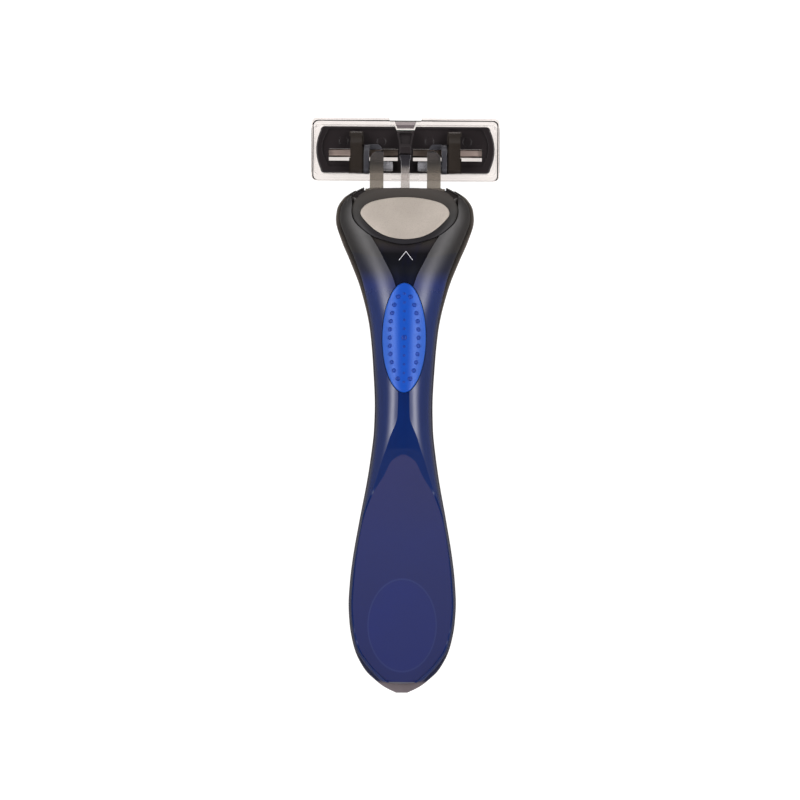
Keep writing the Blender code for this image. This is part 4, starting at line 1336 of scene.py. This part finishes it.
def stage():
    """The pale table, which glows so that it stays white and casts no reflection."""
    bm = bmesh.new()
    bmesh.ops.create_grid(bm, x_segments=1, y_segments=1, size=TABLE_HALF)
    table = to_object("table", bm)
    finish = Finish("table_white", Roughness=0.7, Emission_Strength=0.97)
    finish.shader.inputs["Emission Color"].default_value = colour(1.0)
    finish.paint(finish.ramp(finish.noise(3, 2.0), [(0.3, "787878"), (0.7, "7C7C7C")]))
    table.data.materials.append(finish.material)
    table.location.z = -TABLE_DROP * MM
    table.visible_glossy = False


# Light from the studio, as rows of position on a scale and level at it.
SKY_TILT = 0.15  # leans the dark patch overhead towards the cartridge
SKY_LEVELS = (
    (0.0, 0.15), (0.45, 0.2), (0.68, 0.55), (0.77, 0.5), (0.825, 0.75), (0.86, 0.4), (0.9, 0.06),
    (1.0, 0.03),
)
SIDE_BAND = (
    (0.0, 0.0), (0.3, 0.0), (0.44, 0.3), (0.51, 0.7), (0.6, 1.0), (0.67, 0.9), (0.75, 0.4),
    (0.84, 0.1), (0.92, 0.0),
)
BAND_LENGTH = ((0.0, 1.0), (0.25, 1.0), (0.5, 0.6), (0.75, 0.15), (1.0, 0.0))
ABOVE_TABLE = ((0.0, 0.0), (0.15, 0.0), (0.3, 1.0), (1.0, 1.0))
SIDE_LEVEL = 5.2
SKY_TINT = (1.0, 0.975, 0.985, 1.0)

CAMERA_PLACE = (-0.86, 1.15, 905.0)
CAMERA_ROLL = 0.4  # degrees
CAMERA_LENS = 172.0


def world():
    """A studio that is dark overhead, with a soft bright band on each side of the table."""
    sky = bpy.data.worlds.new("studio")
    bpy.context.scene.world = sky
    sky.use_nodes = True
    nodes = Nodes(sky.node_tree)
    split = nodes.add("ShaderNodeSeparateXYZ")
    nodes.link(nodes.add("ShaderNodeTexCoord").outputs["Generated"], split.inputs[0])
    across, along, up = split.outputs
    tilted = nodes.math("ADD", up, nodes.math("MULTIPLY", along, SKY_TILT))
    sides = nodes.ramp(nodes.math("ABSOLUTE", across), SIDE_BAND)
    window = nodes.ramp(nodes.math("ABSOLUTE", along), BAND_LENGTH)
    band = nodes.math("MULTIPLY", sides, window)
    band = nodes.math("MULTIPLY", band, nodes.ramp(up, ABOVE_TABLE))
    band = nodes.math("MULTIPLY", band, SIDE_LEVEL)
    tinted = nodes.add("ShaderNodeMix", data_type="RGBA", blend_type="MULTIPLY")
    tinted.inputs["Factor"].default_value = 1.0
    tinted.inputs[7].default_value = SKY_TINT
    nodes.link(nodes.math("ADD", nodes.ramp(tilted, SKY_LEVELS), band), tinted.inputs[6])
    nodes.link(tinted.outputs[2], nodes.tree.nodes["Background"].inputs["Color"])


def camera():
    """Straight above with a trace of roll, far enough to look nearly parallel."""
    data = bpy.data.cameras.new("camera")
    data.lens = CAMERA_LENS
    obj = bpy.data.objects.new("camera", data)
    obj.location = Vector(CAMERA_PLACE) * MM
    obj.rotation_euler.z = math.radians(CAMERA_ROLL)
    bpy.context.scene.collection.objects.link(obj)
    bpy.context.scene.camera = obj


def build():
    upper_shell()
    lower_shell()
    thumb_grip()
    arrow_mark()
    button()
    yoke()
    plunger()
    journals()
    springs()
    cartridge_frame()
    brackets()
    centre_cam()
    guard_fins()
    soap_strip()
    carried_over()
    blade_guard()
    stage()
    world()
    camera()
    bpy.context.scene.view_settings.view_transform = "Standard"


build()
